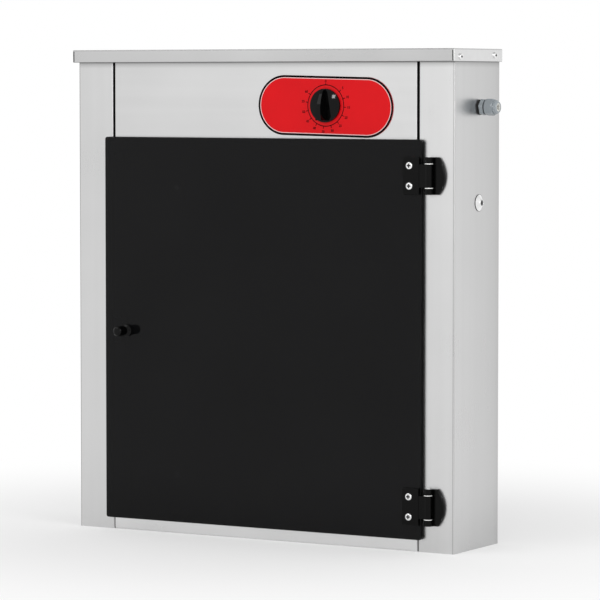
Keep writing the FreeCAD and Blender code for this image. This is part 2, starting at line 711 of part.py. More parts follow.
def door_panel():
    """Black see-through sheet with rounded corners and eased edges."""
    outline = rectangle(DOOR_LEFT, DOOR_RIGHT, DOOR_BOTTOM, DOOR_TOP)
    panel = prism(outline, DOOR_CORNER, "Y", DOOR_FRONT, DOOR_BACK)
    panel = ease(panel, 0.5, lambda e: edge_at("Y", DOOR_FRONT)(e) or edge_at("Y", DOOR_BACK)(e))
    holes = [rod(LEAF_SCREW_X, DOOR_FRONT - 1, z, "Y", 7, M5 + 0.2) for z in hinge_screw_heights()]
    holes.append(rod(KNOB_X, DOOR_FRONT - 1, KNOB_Z, "Y", 7, M4 + 0.2))
    return cut(panel, *holes)


def door_seal():
    """Soft black strip round the door's back that closes on the cabinet's front."""
    outer, inner = [rectangle(DOOR_LEFT + inset, DOOR_RIGHT - inset, DOOR_BOTTOM + inset, DOOR_TOP - inset)
                    for inset in (SEAL_INSET, SEAL_INSET + SEAL_WIDTH)]
    rear = FRONT - DOOR_PLAY
    strip = prism(outer, 2.0, "Y", DOOR_BACK, rear).cut(prism(inner, 1.0, "Y", DOOR_BACK - 1, rear + 1))
    return ease(strip, 0.5, edge_at("Y", rear))


def hinge_door_leaf(centre):
    """Block on the door's face with the middle knuckle of the hinge."""
    low, high = centre - HINGE_HALF, centre + HINGE_HALF
    front = DOOR_FRONT - LEAF_THICK
    plate = prism(rectangle(LEAF_LEFT, LEAF_RIGHT, low, high), 1.5, "Y", front, DOOR_FRONT)
    plate = ease(plate, 0.7, edge_at("Y", front))
    knuckle = rod(PIN_X, PIN_Y, centre - MIDDLE_KNUCKLE, "Z", 2 * MIDDLE_KNUCKLE, BARREL_RADIUS)
    web = prism([(LEAF_RIGHT - 2, front + 0.9), (PIN_X, PIN_Y - BARREL_RADIUS + 0.3), (PIN_X, DOOR_FRONT),
                 (LEAF_RIGHT - 2, DOOR_FRONT)], 0, "Z", centre - MIDDLE_KNUCKLE, centre + MIDDLE_KNUCKLE)
    leaf = join(plate, web, knuckle)
    holes = [rod(PIN_X, PIN_Y, low - 1, "Z", 2 * HINGE_HALF + 2, PIN_RADIUS + 0.06)]
    for half in (-1, 1):
        z = centre + half * HINGE_SCREW_PITCH / 2
        holes.append(rod(LEAF_SCREW_X, front - 1, z, "Y", LEAF_THICK + 2, M5 + 0.2))
        holes.append(rod(LEAF_SCREW_X, front - 1, z, "Y", 1.8, 5.3))
    return cut(leaf, *holes)


def half_round(centre, margin=0.0):
    """D-shaped outline of the cabinet half of the hinge, in X and Z."""
    tip, shoulder, half = COVER_TIP - margin, COVER_SHOULDER - margin, HINGE_HALF - margin
    left = PIN_X + 3.9
    bottom, top = centre - half, centre + half
    return (left, bottom), (shoulder, bottom), (tip, centre), (shoulder, top), (left, top)


def half_round_prism(centre, front, rear, margin=0.0, left=None):
    """D-shaped block between two depths."""
    a, b, middle, c, d = half_round(centre, margin)
    if left is not None:
        a, d = (left, a[1]), (left, d[1])
    points = [V(p[0], front, p[1]) for p in (a, b, middle, c, d)]
    edges = [Part.LineSegment(points[0], points[1]), Part.Arc(points[1], points[2], points[3]),
             Part.LineSegment(points[3], points[4]), Part.LineSegment(points[4], points[0])]
    return Part.Face(Part.Wire([edge.toShape() for edge in edges])).extrude(V(0, rear - front, 0))


def hinge_frame_leaf(centre):
    """D-shaped plate on the cabinet's flange with the two outer knuckles."""
    rear = FRONT - 0.02
    front = FRONT - PLATE_THICK
    plate = half_round_prism(centre, front, rear)
    pieces = [plate]
    gap = MIDDLE_KNUCKLE + HINGE_PLAY + HINGE_WASHER + 0.05
    for low, high in ((centre - HINGE_HALF, centre - gap), (centre + gap, centre + HINGE_HALF)):
        pieces.append(rod(PIN_X, PIN_Y, low, "Z", high - low, BARREL_RADIUS))
        arm = prism([(PIN_X - 3.0, PIN_Y + 3.4), (PIN_X + 4.0, PIN_Y - 2.4), (PIN_X + 7.0, front + 0.5),
                     (PIN_X + 7.0, rear), (PIN_X + 1.2, rear)], 0, "Z", low, high)
        pieces.append(arm)
    leaf = join(*pieces)
    holes = [rod(PIN_X, PIN_Y, centre - HINGE_HALF - 1, "Z", 2 * HINGE_HALF + 2, PIN_RADIUS + 0.04),
             rod(PIN_X, PIN_Y, centre - gap + 0.04, "Z", 2 * gap - 0.08, BARREL_RADIUS + 0.6)]
    for half in (-1, 1):
        z = centre + half * HINGE_SCREW_PITCH / 2
        holes.append(rod(COVER_SCREW_X, front - 1, z, "Y", PLATE_THICK + 2, M4 + 0.2))
        holes.append(cone(COVER_SCREW_X, front, z, "Y", 2.2, 4.3, M4 + 0.2))
    return cut(leaf, *holes)


def hinge_cover(centre):
    """Domed snap cover over the cabinet half of the hinge."""
    rear = FRONT - PLATE_THICK - 0.05
    cover = half_round_prism(centre, COVER_FRONT, rear, 0.3, left=PIN_X + 8.4)
    return ease(cover, 1.4, edge_at("Y", COVER_FRONT))


def hinge_pin(centre):
    """Pin through the three knuckles, with rounded ends."""
    pin = rod(PIN_X, PIN_Y, centre - HINGE_HALF - 0.4, "Z", 2 * HINGE_HALF + 0.8, PIN_RADIUS)
    top, bottom = centre + HINGE_HALF + 0.4, centre - HINGE_HALF - 0.4
    return ease(pin, 0.6, lambda e: edge_at("Z", top)(e) or edge_at("Z", bottom)(e))


def hinge_washers():
    """White slip washers between the knuckles."""
    washers = []
    for centre in HINGE_CENTRES.values():
        for sign in (-1, 1):
            z = centre + sign * (MIDDLE_KNUCKLE + HINGE_PLAY)
            radius, bore = BARREL_RADIUS + 0.25, PIN_RADIUS + 0.05
            washers.append(ring(PIN_X, PIN_Y, z, "Z", sign * HINGE_WASHER, radius, bore))
    return group(washers)


def hinge_door_screws():
    """Bright screws through the door leaf, the door and the backing plate."""
    seat = DOOR_FRONT - LEAF_THICK + 0.8
    return group(pan_screw(LEAF_SCREW_X, seat, z, "Y", 1, M5, 12.0, 4.6, 2.6) for z in hinge_screw_heights())


def hinge_backing_plates():
    """Tapped plates behind the door."""
    plates = []
    for centre in HINGE_CENTRES.values():
        outline = rectangle(LEAF_SCREW_X - 7, LEAF_SCREW_X + 7, centre - 20, centre + 20)
        plate = prism(outline, 2.5, "Y", DOOR_BACK, DOOR_BACK + 2.5)
        holes = []
        for half in (-1, 1):
            z = centre + half * HINGE_SCREW_PITCH / 2
            holes.append(rod(LEAF_SCREW_X, DOOR_BACK - 1, z, "Y", 5, M5 + 0.1))
        plates.append(cut(plate, *holes))
    return group(plates)


def hinge_frame_screws():
    """Countersunk screws under the hinge covers."""
    seat = FRONT - PLATE_THICK + 0.1
    screws = []
    for z in hinge_screw_heights():
        shank = rod(COVER_SCREW_X, seat, z, "Y", 9.0, M4)
        head = cone(COVER_SCREW_X, seat, z, "Y", 2.0, 3.9, M4)
        screws.append(join(shank, head))
    return group(screws)


def door_knob():
    """Small turned pull with a flange, a waist and a rounded head."""
    flange, waist, head = 8.2, 4.2, 6.4
    tip = 25.0
    profile = [(0, 0), (0, flange - 0.5), (0.5, flange), (2.4, flange), (3.2, flange - 0.8),
               (4.2, waist + 1.0), (5.2, waist), (6.6, waist), (7.8, head - 1.0), (8.6, head - 0.2),
               (9.6, head), (21.4, head), (22.8, head - 0.4), (23.8, head - 1.2), (24.5, head - 2.5),
               (24.9, head - 4.2), (tip, 0)]
    knob = turned([(-a, r) for a, r in profile], KNOB_X, DOOR_FRONT, KNOB_Z, "Y")
    return knob.cut(rod(KNOB_X, DOOR_FRONT + 1, KNOB_Z, "Y", -15, M4 + 0.05))


def door_knob_screw():
    """Screw that holds the pull from the door's back."""
    return pan_screw(KNOB_X, DOOR_BACK, KNOB_Z, "Y", -1, M4, 16.0, 3.8, 2.4)


def catch_strike():
    """Steel plate on the door that the magnet holds."""
    rear = DOOR_BACK + STRIKE_THICK
    outline = rectangle(FLANGE_LEFT + 1.6, FLANGE_LEFT + 13, CATCH_Z - 17, CATCH_Z + 17)
    plate = prism(outline, 2.0, "Y", DOOR_BACK, rear)
    return ease(plate, 0.5, edge_at("Y", rear))


def magnetic_catch():
    """Magnet case screwed to the return of the left flange."""
    left = FLANGE_LEFT + 0.05
    front, rear = FRONT + 2.0, FRONT + 14.6
    outline = rectangle(left, left + CATCH_WIDTH, CATCH_Z - 22, CATCH_Z + 22)
    case = prism(outline, [0, 1.5, 1.5, 0], "Y", front, rear)
    recess_depth, pole_thick = 1.2, 1.5
    recess = prism(rectangle(left + 2.5, left + 10, CATCH_Z - 17, CATCH_Z + 17), 1.0, "Y",
                   front - 1, front + recess_depth)
    poles = [block(left + x, left + x + pole_thick, DOOR_BACK + STRIKE_THICK + 0.4, front + recess_depth,
                   CATCH_Z - 15, CATCH_Z + 15) for x in (3.5, 7.5)]
    case = join(case.cut(recess), *poles)
    holes = [rod(left - 1, CATCH_SCREW_Y, CATCH_Z + dz, "X", 20, M3 + 0.1) for dz in CATCH_SCREW_DZ]
    return cut(case, *holes)


def catch_screws():
    """Two small screws that hold the magnet case."""
    seat = FLANGE_LEFT + 0.05 + CATCH_WIDTH
    return group(pan_screw(seat, CATCH_SCREW_Y, CATCH_Z + dz, "X", -1, M3, 16.0, 2.8, 1.6)
                 for dz in CATCH_SCREW_DZ)


# Door switch

def door_switch():
    """Case of the switch that cuts the tube when the door opens."""
    outline = rectangle(SWITCH_X - 5, SWITCH_X + 5, SWITCH_Z - 8, SWITCH_Z + 8)
    case = prism(outline, 0.8, "Y", SWITCH_FRONT, SWITCH_REAR)
    bore = rod(SWITCH_X, SWITCH_FRONT - 1, SWITCH_Z, "Y", 12, PLUNGER_RADIUS + 0.08)
    half_thick, half_wide = 0.4, 2.4
    tabs = []
    for z in (SWITCH_Z - 4.5, SWITCH_Z + 4.5):
        tabs.append(block(SWITCH_X - half_thick, SWITCH_X + half_thick, SWITCH_REAR - 1, SWITCH_REAR + 7,
                          z - half_wide, z + half_wide))
    return cut(join(case, *tabs), bore)


def switch_bracket():
    """Angle that hangs the switch from the folded edge of the fascia."""
    left, right = SWITCH_X - 6.0, SWITCH_X + 6.0
    side = block(left, left + SHEET, SWITCH_FRONT, SWITCH_REAR - 4, SWITCH_Z - 9, OPENING_TOP)
    top = block(left, right, SWITCH_FRONT, FRONT + LEDGE_DEPTH, OPENING_TOP - SHEET, OPENING_TOP)
    bracket = join(side, top)
    return bracket.cut(rod(SWITCH_X, SWITCH_SCREW_Y, OPENING_TOP - 3, "Z", 5, M3 + 0.1))


def switch_plunger():
    """Button of the switch, pressed in by the closed door."""
    tip = DOOR_BACK + STRIKE_THICK + 0.3
    plunger = rod(SWITCH_X, tip, SWITCH_Z, "Y", 11.0, PLUNGER_RADIUS)
    return ease(plunger, 0.8, edge_at("Y", tip))


def switch_striker():
    """Pad on the door that presses the button."""
    rear = DOOR_BACK + STRIKE_THICK
    outline = rectangle(SWITCH_X - 6, SWITCH_X + 6, SWITCH_Z - 6, SWITCH_Z + 6)
    pad = prism(outline, 1.5, "Y", DOOR_BACK, rear)
    return ease(pad, 0.6, edge_at("Y", rear))


# Timer

def label_plate():
    """Long round-ended plate behind the timer knob."""
    half = (LABEL_TOP - LABEL_BOTTOM) / 2
    outline = rectangle(LABEL_LEFT, LABEL_RIGHT, LABEL_BOTTOM, LABEL_TOP)
    plate = prism(outline, half - 0.05, "Y", FRONT - LABEL_THICK, FRONT)
    centre = V((LABEL_LEFT + LABEL_RIGHT) / 2, 0, (LABEL_BOTTOM + LABEL_TOP) / 2)
    plate.rotate(centre, V(0, 1, 0), LABEL_TILT)
    holes = [rod(TIMER_X, FRONT - 2, TIMER_Z, "Y", 4, 5.0)]
    for offset in (-TIMER_SCREW_OFFSET, TIMER_SCREW_OFFSET):
        holes.append(rod(TIMER_X + offset, FRONT - 2, TIMER_Z, "Y", 4, 3.6))
    return cut(plate, *holes)


def timer_case():
    """Clockwork case on the back of the fascia, with its terminals."""
    front = FRONT + SHEET
    step, depth = 1.5, 34.0
    case = prism(rectangle(TIMER_X - 24, TIMER_X + 24, TIMER_Z - 22, TIMER_Z + 22), 3.0, "Y",
                 front + step, front + depth)
    flange = prism(rectangle(TIMER_X - 20, TIMER_X + 20, TIMER_Z - 9, TIMER_Z + 9), 2.0, "Y",
                   front, front + step)
    tabs = []
    for x in (TIMER_X - TAB_PITCH, TIMER_X, TIMER_X + TAB_PITCH):
        tabs.append(block(x - 3, x + 3, front + depth - 1, front + depth + 8, TAB_Z - 0.4, TAB_Z + 0.4))
    holes = [rod(TIMER_X, front - 1, TIMER_Z, "Y", 22, SPINDLE_RADIUS + 0.08)]
    for offset in (-TIMER_SCREW_OFFSET, TIMER_SCREW_OFFSET):
        holes.append(rod(TIMER_X + offset, front - 1, TIMER_Z, "Y", 10, M4 + 0.1))
    return cut(join(case, flange, *tabs), *holes)


def timer_screws():
    """Two screws that hold the timer, hidden under the knob."""
    return group(pan_screw(TIMER_X + offset, FRONT, TIMER_Z, "Y", 1, M4, 8.0, 3.3, 1.9)
                 for offset in (-TIMER_SCREW_OFFSET, TIMER_SCREW_OFFSET))


def timer_spindle():
    """Spindle of the timer with a flat for the knob."""
    tip, root = FRONT - 15.0, FRONT + SHEET + 20.0
    spindle = rod(TIMER_X, tip, TIMER_Z, "Y", root - tip, SPINDLE_RADIUS)
    flat = block(TIMER_X - 4, TIMER_X + 4, tip - 1, tip + 11, TIMER_Z - 4, TIMER_Z - 1.6)
    return spindle.cut(flat)


def timer_knob():
    """Pointer knob: a hollow domed skirt with a wedge grip that narrows towards the pointer."""
    rear = FRONT - LABEL_THICK - 0.5
    rim, dome = 2.4, 2.2
    sphere_radius = (DIAL_KNOB_RADIUS ** 2 + dome ** 2) / (2 * dome)
    skirt = rod(TIMER_X, rear, TIMER_Z, "Y", -(rim + dome), DIAL_KNOB_RADIUS)
    ball = Part.makeSphere(sphere_radius, V(TIMER_X, rear - rim - dome + sphere_radius, TIMER_Z))
    skirt = skirt.common(ball)
    base_depth, crest_depth = rear - rim, rear - 19.0

    def wedge(depth, tail, point, low, high):
        corners = [(TIMER_X - tail, TIMER_Z + low), (TIMER_X + tail, TIMER_Z + low),
                   (TIMER_X + point, TIMER_Z + high), (TIMER_X - point, TIMER_Z + high)]
        vectors = [V(x, depth, z) for x, z in corners]
        return Part.makePolygon(vectors + vectors[:1])

    grip = Part.makeLoft([wedge(base_depth, 6.4, 1.8, -18.6, 19.6),
                          wedge(crest_depth, 4.2, 0.9, -18.2, 18.6)], True, True)
    crown_radius = 46.0
    crown = rod(TIMER_X - 20, crest_depth + crown_radius, TIMER_Z - 10.0, "X", 40, crown_radius)
    grip = grip.common(crown)
    knob = join(skirt, grip)
    hollow = rod(TIMER_X, rear + 1, TIMER_Z, "Y", -(1 + 2.2), DIAL_KNOB_RADIUS - 1.6)
    hub = rod(TIMER_X, rear, TIMER_Z, "Y", -2.3, 6.0)
    knob = join(knob.cut(hollow), hub)
    bore = rod(TIMER_X, rear + 1, TIMER_Z, "Y", -(1 + 13.9), SPINDLE_RADIUS + 0.05)
    return knob.cut(bore)


# Electrics

def ballast():
    """Electronic ballast with mounting ears."""
    low, high = DIVIDER_TOP, DIVIDER_TOP + BALLAST_HEIGHT
    outline = rectangle(BALLAST_LEFT, BALLAST_RIGHT, low, high)
    case = prism(outline, 1.5, "Y", BALLAST_FRONT, BALLAST_FRONT + BALLAST_DEPTH)
    ears = [block(BALLAST_LEFT - 12, BALLAST_LEFT + 1, 12, 38, low, low + EAR_THICK),
            block(BALLAST_RIGHT - 1, BALLAST_RIGHT + 12, 12, 38, low, low + EAR_THICK)]
    holes = [rod(x, BALLAST_SCREW_Y, low - 1, "Z", 4, M4 + 0.1) for x in BALLAST_SCREW_X]
    return cut(join(case, *ears), *holes)


def ballast_screws():
    """Screws through the ballast's ears into the shelf."""
    return group(pan_screw(x, BALLAST_SCREW_Y, DIVIDER_TOP + EAR_THICK, "Z", -1, M4, EAR_THICK, 3.5, 2.0)
                 for x in BALLAST_SCREW_X)


def ballast_terminals():
    """Terminal strips on both ends of the ballast."""
    strips = []
    pitch, depth = 5.0, 4.0
    for x0, count in ((-168.0, 3), (-52.0, 4)):
        strip = block(x0, x0 + count * pitch, BALLAST_FRONT - depth, BALLAST_FRONT, LEAD_Z - 4, LEAD_Z + 8)
        holes = [rod(x0 + (step + 0.5) * pitch, BALLAST_FRONT - depth - 1, LEAD_Z, "Y", 4.0, 1.8)
                 for step in range(count)]
        strips.append(cut(strip, *holes))
    return group(strips)


def terminal_block():
    """Three-way screw terminal for the mains lead."""
    left, front, low = 196.0, 14.0, DIVIDER_TOP
    pitch, depth, base = 10.4, 22.0, 4.0
    pieces = [block(left, left + 3 * pitch + 0.8, front, front + depth, low, low + base)]
    holes = []
    for step in range(3):
        x = left + 0.4 + (step + 0.5) * pitch
        pieces.append(block(x - 4.6, x + 4.6, front + 1, front + depth - 1, low + base, low + 17))
        holes.append(rod(x, front, low + 9, "Y", depth, 2.0))
        for y in (front + 6, front + depth - 6):
            holes.append(rod(x, y, low + 12, "Z", 6, 2.4))
    return cut(join(*pieces), *holes)


def internal_wiring():
    """Leads from the gland to the terminals, the timer, the ballast and both tube ends."""
    tube_left, tube_right = grommet_places()
    holder_lead = TUBE_Z + 14.0
    low = DIVIDER_TOP + 4.0
    mains = [(258, GLAND_Y, GLAND_Z), (244, GLAND_Y, GLAND_Z), (226, -10, 536), (212, -14, 522),
             (203, -10, 513), (201.6, 2, 511), (201.6, 16, 511)]
    to_timer = [(201.6, 33, 511), (201.6, 44, 511), (190, 49, 518), (160, 47, 530), (130, 30, 538),
                (112, 12, 540), (108, -2, 539.7), (108, -16.9, 539.7)]
    to_ballast = [(94, -16.9, 539.7), (94, -4, 539.7), (84, 10, 532), (50, 14, 520), (0, 8, 515),
                  (-24, -4, LEAD_Z), (-34.5, -10, LEAD_Z), (-34.5, 3.5, LEAD_Z)]
    to_left_end = [(-165.5, 3.5, LEAD_Z), (-165.5, -10, LEAD_Z), (-180, -20, LEAD_Z), (-205, -22, LEAD_Z),
                   (-232, -18, 513), (-252, -10, 512), (tube_left, 2, 512), (tube_left, TUBE_Y, 512),
                   (tube_left, TUBE_Y, holder_lead), (tube_left + 34, TUBE_Y, holder_lead)]
    to_right_end = [(-49.5, 3.5, LEAD_Z), (-49.5, -12, LEAD_Z), (-40, -24, 511), (-10, -30, low),
                    (40, -31, low), (140, -31, low), (190, -30, low), (228, -24, low),
                    (252, -10, 509), (tube_right, 2, 512), (tube_right, TUBE_Y, 512),
                    (tube_right, TUBE_Y, holder_lead), (tube_right - 34, TUBE_Y, holder_lead)]
    return group([bent_wire(mains, 1.2), bent_wire(to_timer, 1.1), bent_wire(to_ballast, 1.1),
                  bent_wire(to_left_end, 1.6), bent_wire(to_right_end, 1.6)])


# Cable gland and side fixing

def gland_body():
    """Threaded body of the gland with its hexagonal flange."""
    flange_start = SIDE + 2.4
    flange = hexagon(flange_start, GLAND_Y, GLAND_Z, "X", 4.9, 18.6, FLANGE_TURN)
    rounder = cone(flange_start - 0.2, GLAND_Y, GLAND_Z, "X", 5.3, 10.9, 9.7)
    thread = rod(SIDE - 13, GLAND_Y, GLAND_Z, "X", flange_start - SIDE + 13.5, GLAND_THREAD_RADIUS)
    neck = rod(flange_start + 4.5, GLAND_Y, GLAND_Z, "X", 7.6, 7.4)
    body = join(flange.common(rounder), thread, neck)
    return body.cut(rod(SIDE - 14, GLAND_Y, GLAND_Z, "X", 40, GLAND_BORE_RADIUS))


def gland_washer():
    """Soft washer between the gland and the side wall."""
    return ring(SIDE, GLAND_Y, GLAND_Z, "X", 2.35, 9.4, GLAND_THREAD_RADIUS + GAP)


def gland_locknut():
    """Locknut inside the wall."""
    return hex_nut(SIDE - SHEET, GLAND_Y, GLAND_Z, "X", -5.0, 19.0, GLAND_THREAD_RADIUS + GAP)


def gland_seal():
    """Rubber sleeve that grips the lead."""
    sleeve = ring(SEAL_START, GLAND_Y, GLAND_Z, "X", SEAL_LENGTH, SEAL_RADIUS, SEAL_BORE_RADIUS)
    return ease(sleeve, 0.6, edge_at("X", SEAL_START + SEAL_LENGTH))


def gland_nut():
    """Cap nut: a long hexagon with a short round crown of two steps."""
    start, hex_length, crown_length = SIDE + 8.9, 11.2, 5.0
    shoulder = start + hex_length
    hexed = hexagon(start, GLAND_Y, GLAND_Z, "X", hex_length, 18.6, NUT_TURN)
    rounder = join(cone(start - 0.1, GLAND_Y, GLAND_Z, "X", 1.3, 9.3, 10.9),
                   rod(start + 1.1, GLAND_Y, GLAND_Z, "X", hex_length - 2.9, 10.9),
                   cone(shoulder - 1.9, GLAND_Y, GLAND_Z, "X", 2.0, 10.9, 9.2))
    profile = [(-0.5, 0), (-0.5, 8.3), (0.5, 8.3), (0.8, 8.9), (1.9, 8.8), (2.3, 8.1), (2.7, 8.0),
               (3.1, 8.2), (3.9, 7.7), (4.6, 6.9), (crown_length, 6.5), (crown_length, 0)]
    crown = turned(profile, shoulder, GLAND_Y, GLAND_Z, "X")
    nut = join(hexed.common(rounder), crown)
    return cut(nut, rod(start - 1, GLAND_Y, GLAND_Z, "X", 7.4, 7.5),
               rod(start + 6, GLAND_Y, GLAND_Z, "X", 30, SEAL_RADIUS + 0.05))


def side_cup_washer():
    """Cone-shaped cup washer on the side wall."""
    profile = [(0, M4 + 0.3), (0, 10.3), (0.7, 10.2), (1.8, 8.4), (3.7, 5.0), (4.3, 4.2), (4.3, 3.6),
               (2.1, M4 + 0.3)]
    return turned(profile, SIDE, SIDE_SCREW_Y, SIDE_SCREW_Z, "X")


def side_screw():
    """Countersunk screw in the cup washer, with a nut inside."""
    seat = SIDE + 4.2
    head = cone(seat, SIDE_SCREW_Y, SIDE_SCREW_Z, "X", -1.6, 3.3, M4)
    shank = rod(seat, SIDE_SCREW_Y, SIDE_SCREW_Z, "X", -14.0, M4)
    screw = join(head, shank)
    for half_y, half_z in ((2.1, 0.5), (0.5, 2.1)):
        recess = block(seat - 1.3, seat + 1, SIDE_SCREW_Y - half_y, SIDE_SCREW_Y + half_y,
                       SIDE_SCREW_Z - half_z, SIDE_SCREW_Z + half_z)
        screw = screw.cut(recess)
    return screw


def build():
    """Every sub-part by name."""
    parts = {}
    parts["left_side_panel"] = side_panel(-1)
    parts["right_side_panel"] = side_panel(1)
    parts["control_fascia"] = control_fascia()
    parts["base_pan"] = base_pan()
    parts["back_panel"] = back_panel()
    parts["top_cover"] = top_cover()
    parts["cap_screws"] = cap_screws()
    parts["back_panel_screws"] = back_panel_screws()
    parts["m4_nuts"] = m4_nuts()
    parts["compartment_divider"] = compartment_divider()
    parts["lead_grommets"] = grommets()
    parts["lamp_reflector"] = lamp_reflector()
    parts["shelf_screws"] = shelf_screws()
    parts["uv_tube"] = lamp_tube()
    parts["uv_tube_caps"] = lamp_caps()
    parts["lampholders"] = lampholders()
    parts["lampholder_rotors"] = lampholder_rotors()
    parts["lamp_guard"] = lamp_guard()
    parts["knife_rack"] = knife_rack()
    parts["door_panel"] = door_panel()
    parts["door_seal"] = door_seal()
    for name, centre in HINGE_CENTRES.items():
        parts[name + "_hinge_door_leaf"] = hinge_door_leaf(centre)
        parts[name + "_hinge_frame_leaf"] = hinge_frame_leaf(centre)
        parts[name + "_hinge_cover"] = hinge_cover(centre)
        parts[name + "_hinge_pin"] = hinge_pin(centre)
    parts["hinge_washers"] = hinge_washers()
    parts["hinge_door_screws"] = hinge_door_screws()
    parts["hinge_backing_plates"] = hinge_backing_plates()
    parts["hinge_frame_screws"] = hinge_frame_screws()
    parts["door_knob"] = door_knob()
    parts["door_knob_screw"] = door_knob_screw()
    parts["catch_strike"] = catch_strike()
    parts["magnetic_catch"] = magnetic_catch()
    parts["catch_screws"] = catch_screws()
    parts["door_switch"] = door_switch()
    parts["switch_bracket"] = switch_bracket()
    parts["switch_plunger"] = switch_plunger()
    parts["switch_striker"] = switch_striker()
    parts["label_plate"] = label_plate()
    parts["timer_case"] = timer_case()
    parts["timer_screws"] = timer_screws()
    parts["timer_spindle"] = timer_spindle()
    parts["timer_knob"] = timer_knob()
    parts["ballast"] = ballast()
    parts["ballast_screws"] = ballast_screws()
    parts["ballast_terminals"] = ballast_terminals()
    parts["terminal_block"] = terminal_block()
    parts["internal_wiring"] = internal_wiring()
    parts["gland_body"] = gland_body()
    parts["gland_washer"] = gland_washer()
    parts["gland_locknut"] = gland_locknut()
    parts["gland_seal"] = gland_seal()
    parts["gland_nut"] = gland_nut()
    parts["side_cup_washer"] = side_cup_washer()
    parts["side_screw"] = side_screw()
    return parts


PARTS = build()
os.makedirs("parts", exist_ok=True)
for node, shape in PARTS.items():
    shape.exportStep("parts/%s.step" % node)
print(len(PARTS), "sub-parts")
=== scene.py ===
import math

import bmesh
import bpy
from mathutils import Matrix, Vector


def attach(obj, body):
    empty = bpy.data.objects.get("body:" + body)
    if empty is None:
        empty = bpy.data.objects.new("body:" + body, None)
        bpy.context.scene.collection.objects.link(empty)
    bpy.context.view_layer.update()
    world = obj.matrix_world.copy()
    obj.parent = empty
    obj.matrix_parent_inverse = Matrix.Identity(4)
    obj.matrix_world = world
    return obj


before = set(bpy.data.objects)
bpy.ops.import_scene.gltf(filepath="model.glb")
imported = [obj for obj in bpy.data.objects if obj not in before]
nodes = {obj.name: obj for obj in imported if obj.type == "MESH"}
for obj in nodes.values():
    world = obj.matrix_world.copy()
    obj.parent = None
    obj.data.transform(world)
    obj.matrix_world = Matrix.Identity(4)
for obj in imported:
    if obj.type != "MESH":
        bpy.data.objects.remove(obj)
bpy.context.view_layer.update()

scene = bpy.context.scene
MM = 0.001


def linear(red, green, blue):
    """Scene colour of a screen colour given in 0 to 255."""
    def channel(value):
        value /= 255
        return value / 12.92 if value <= 0.04045 else ((value + 0.055) / 1.055) ** 2.4
    return (channel(red), channel(green), channel(blue), 1.0)


def grey(level):
    """Neutral grey of a screen level."""
    return linear(level, level, level)


# Camera, at the photograph's angle

def add_camera():
    data = bpy.data.cameras.new("camera")
    data.lens = 204.86
    data.clip_end = 60.0
    camera = bpy.data.objects.new("camera", data)
    camera.location = (2.2016, -3.7543, 0.5772)
    camera.rotation_euler = (math.radians(86.37), 0, math.radians(30.141))
    scene.collection.objects.link(camera)
    scene.camera = camera


# Shader helpers

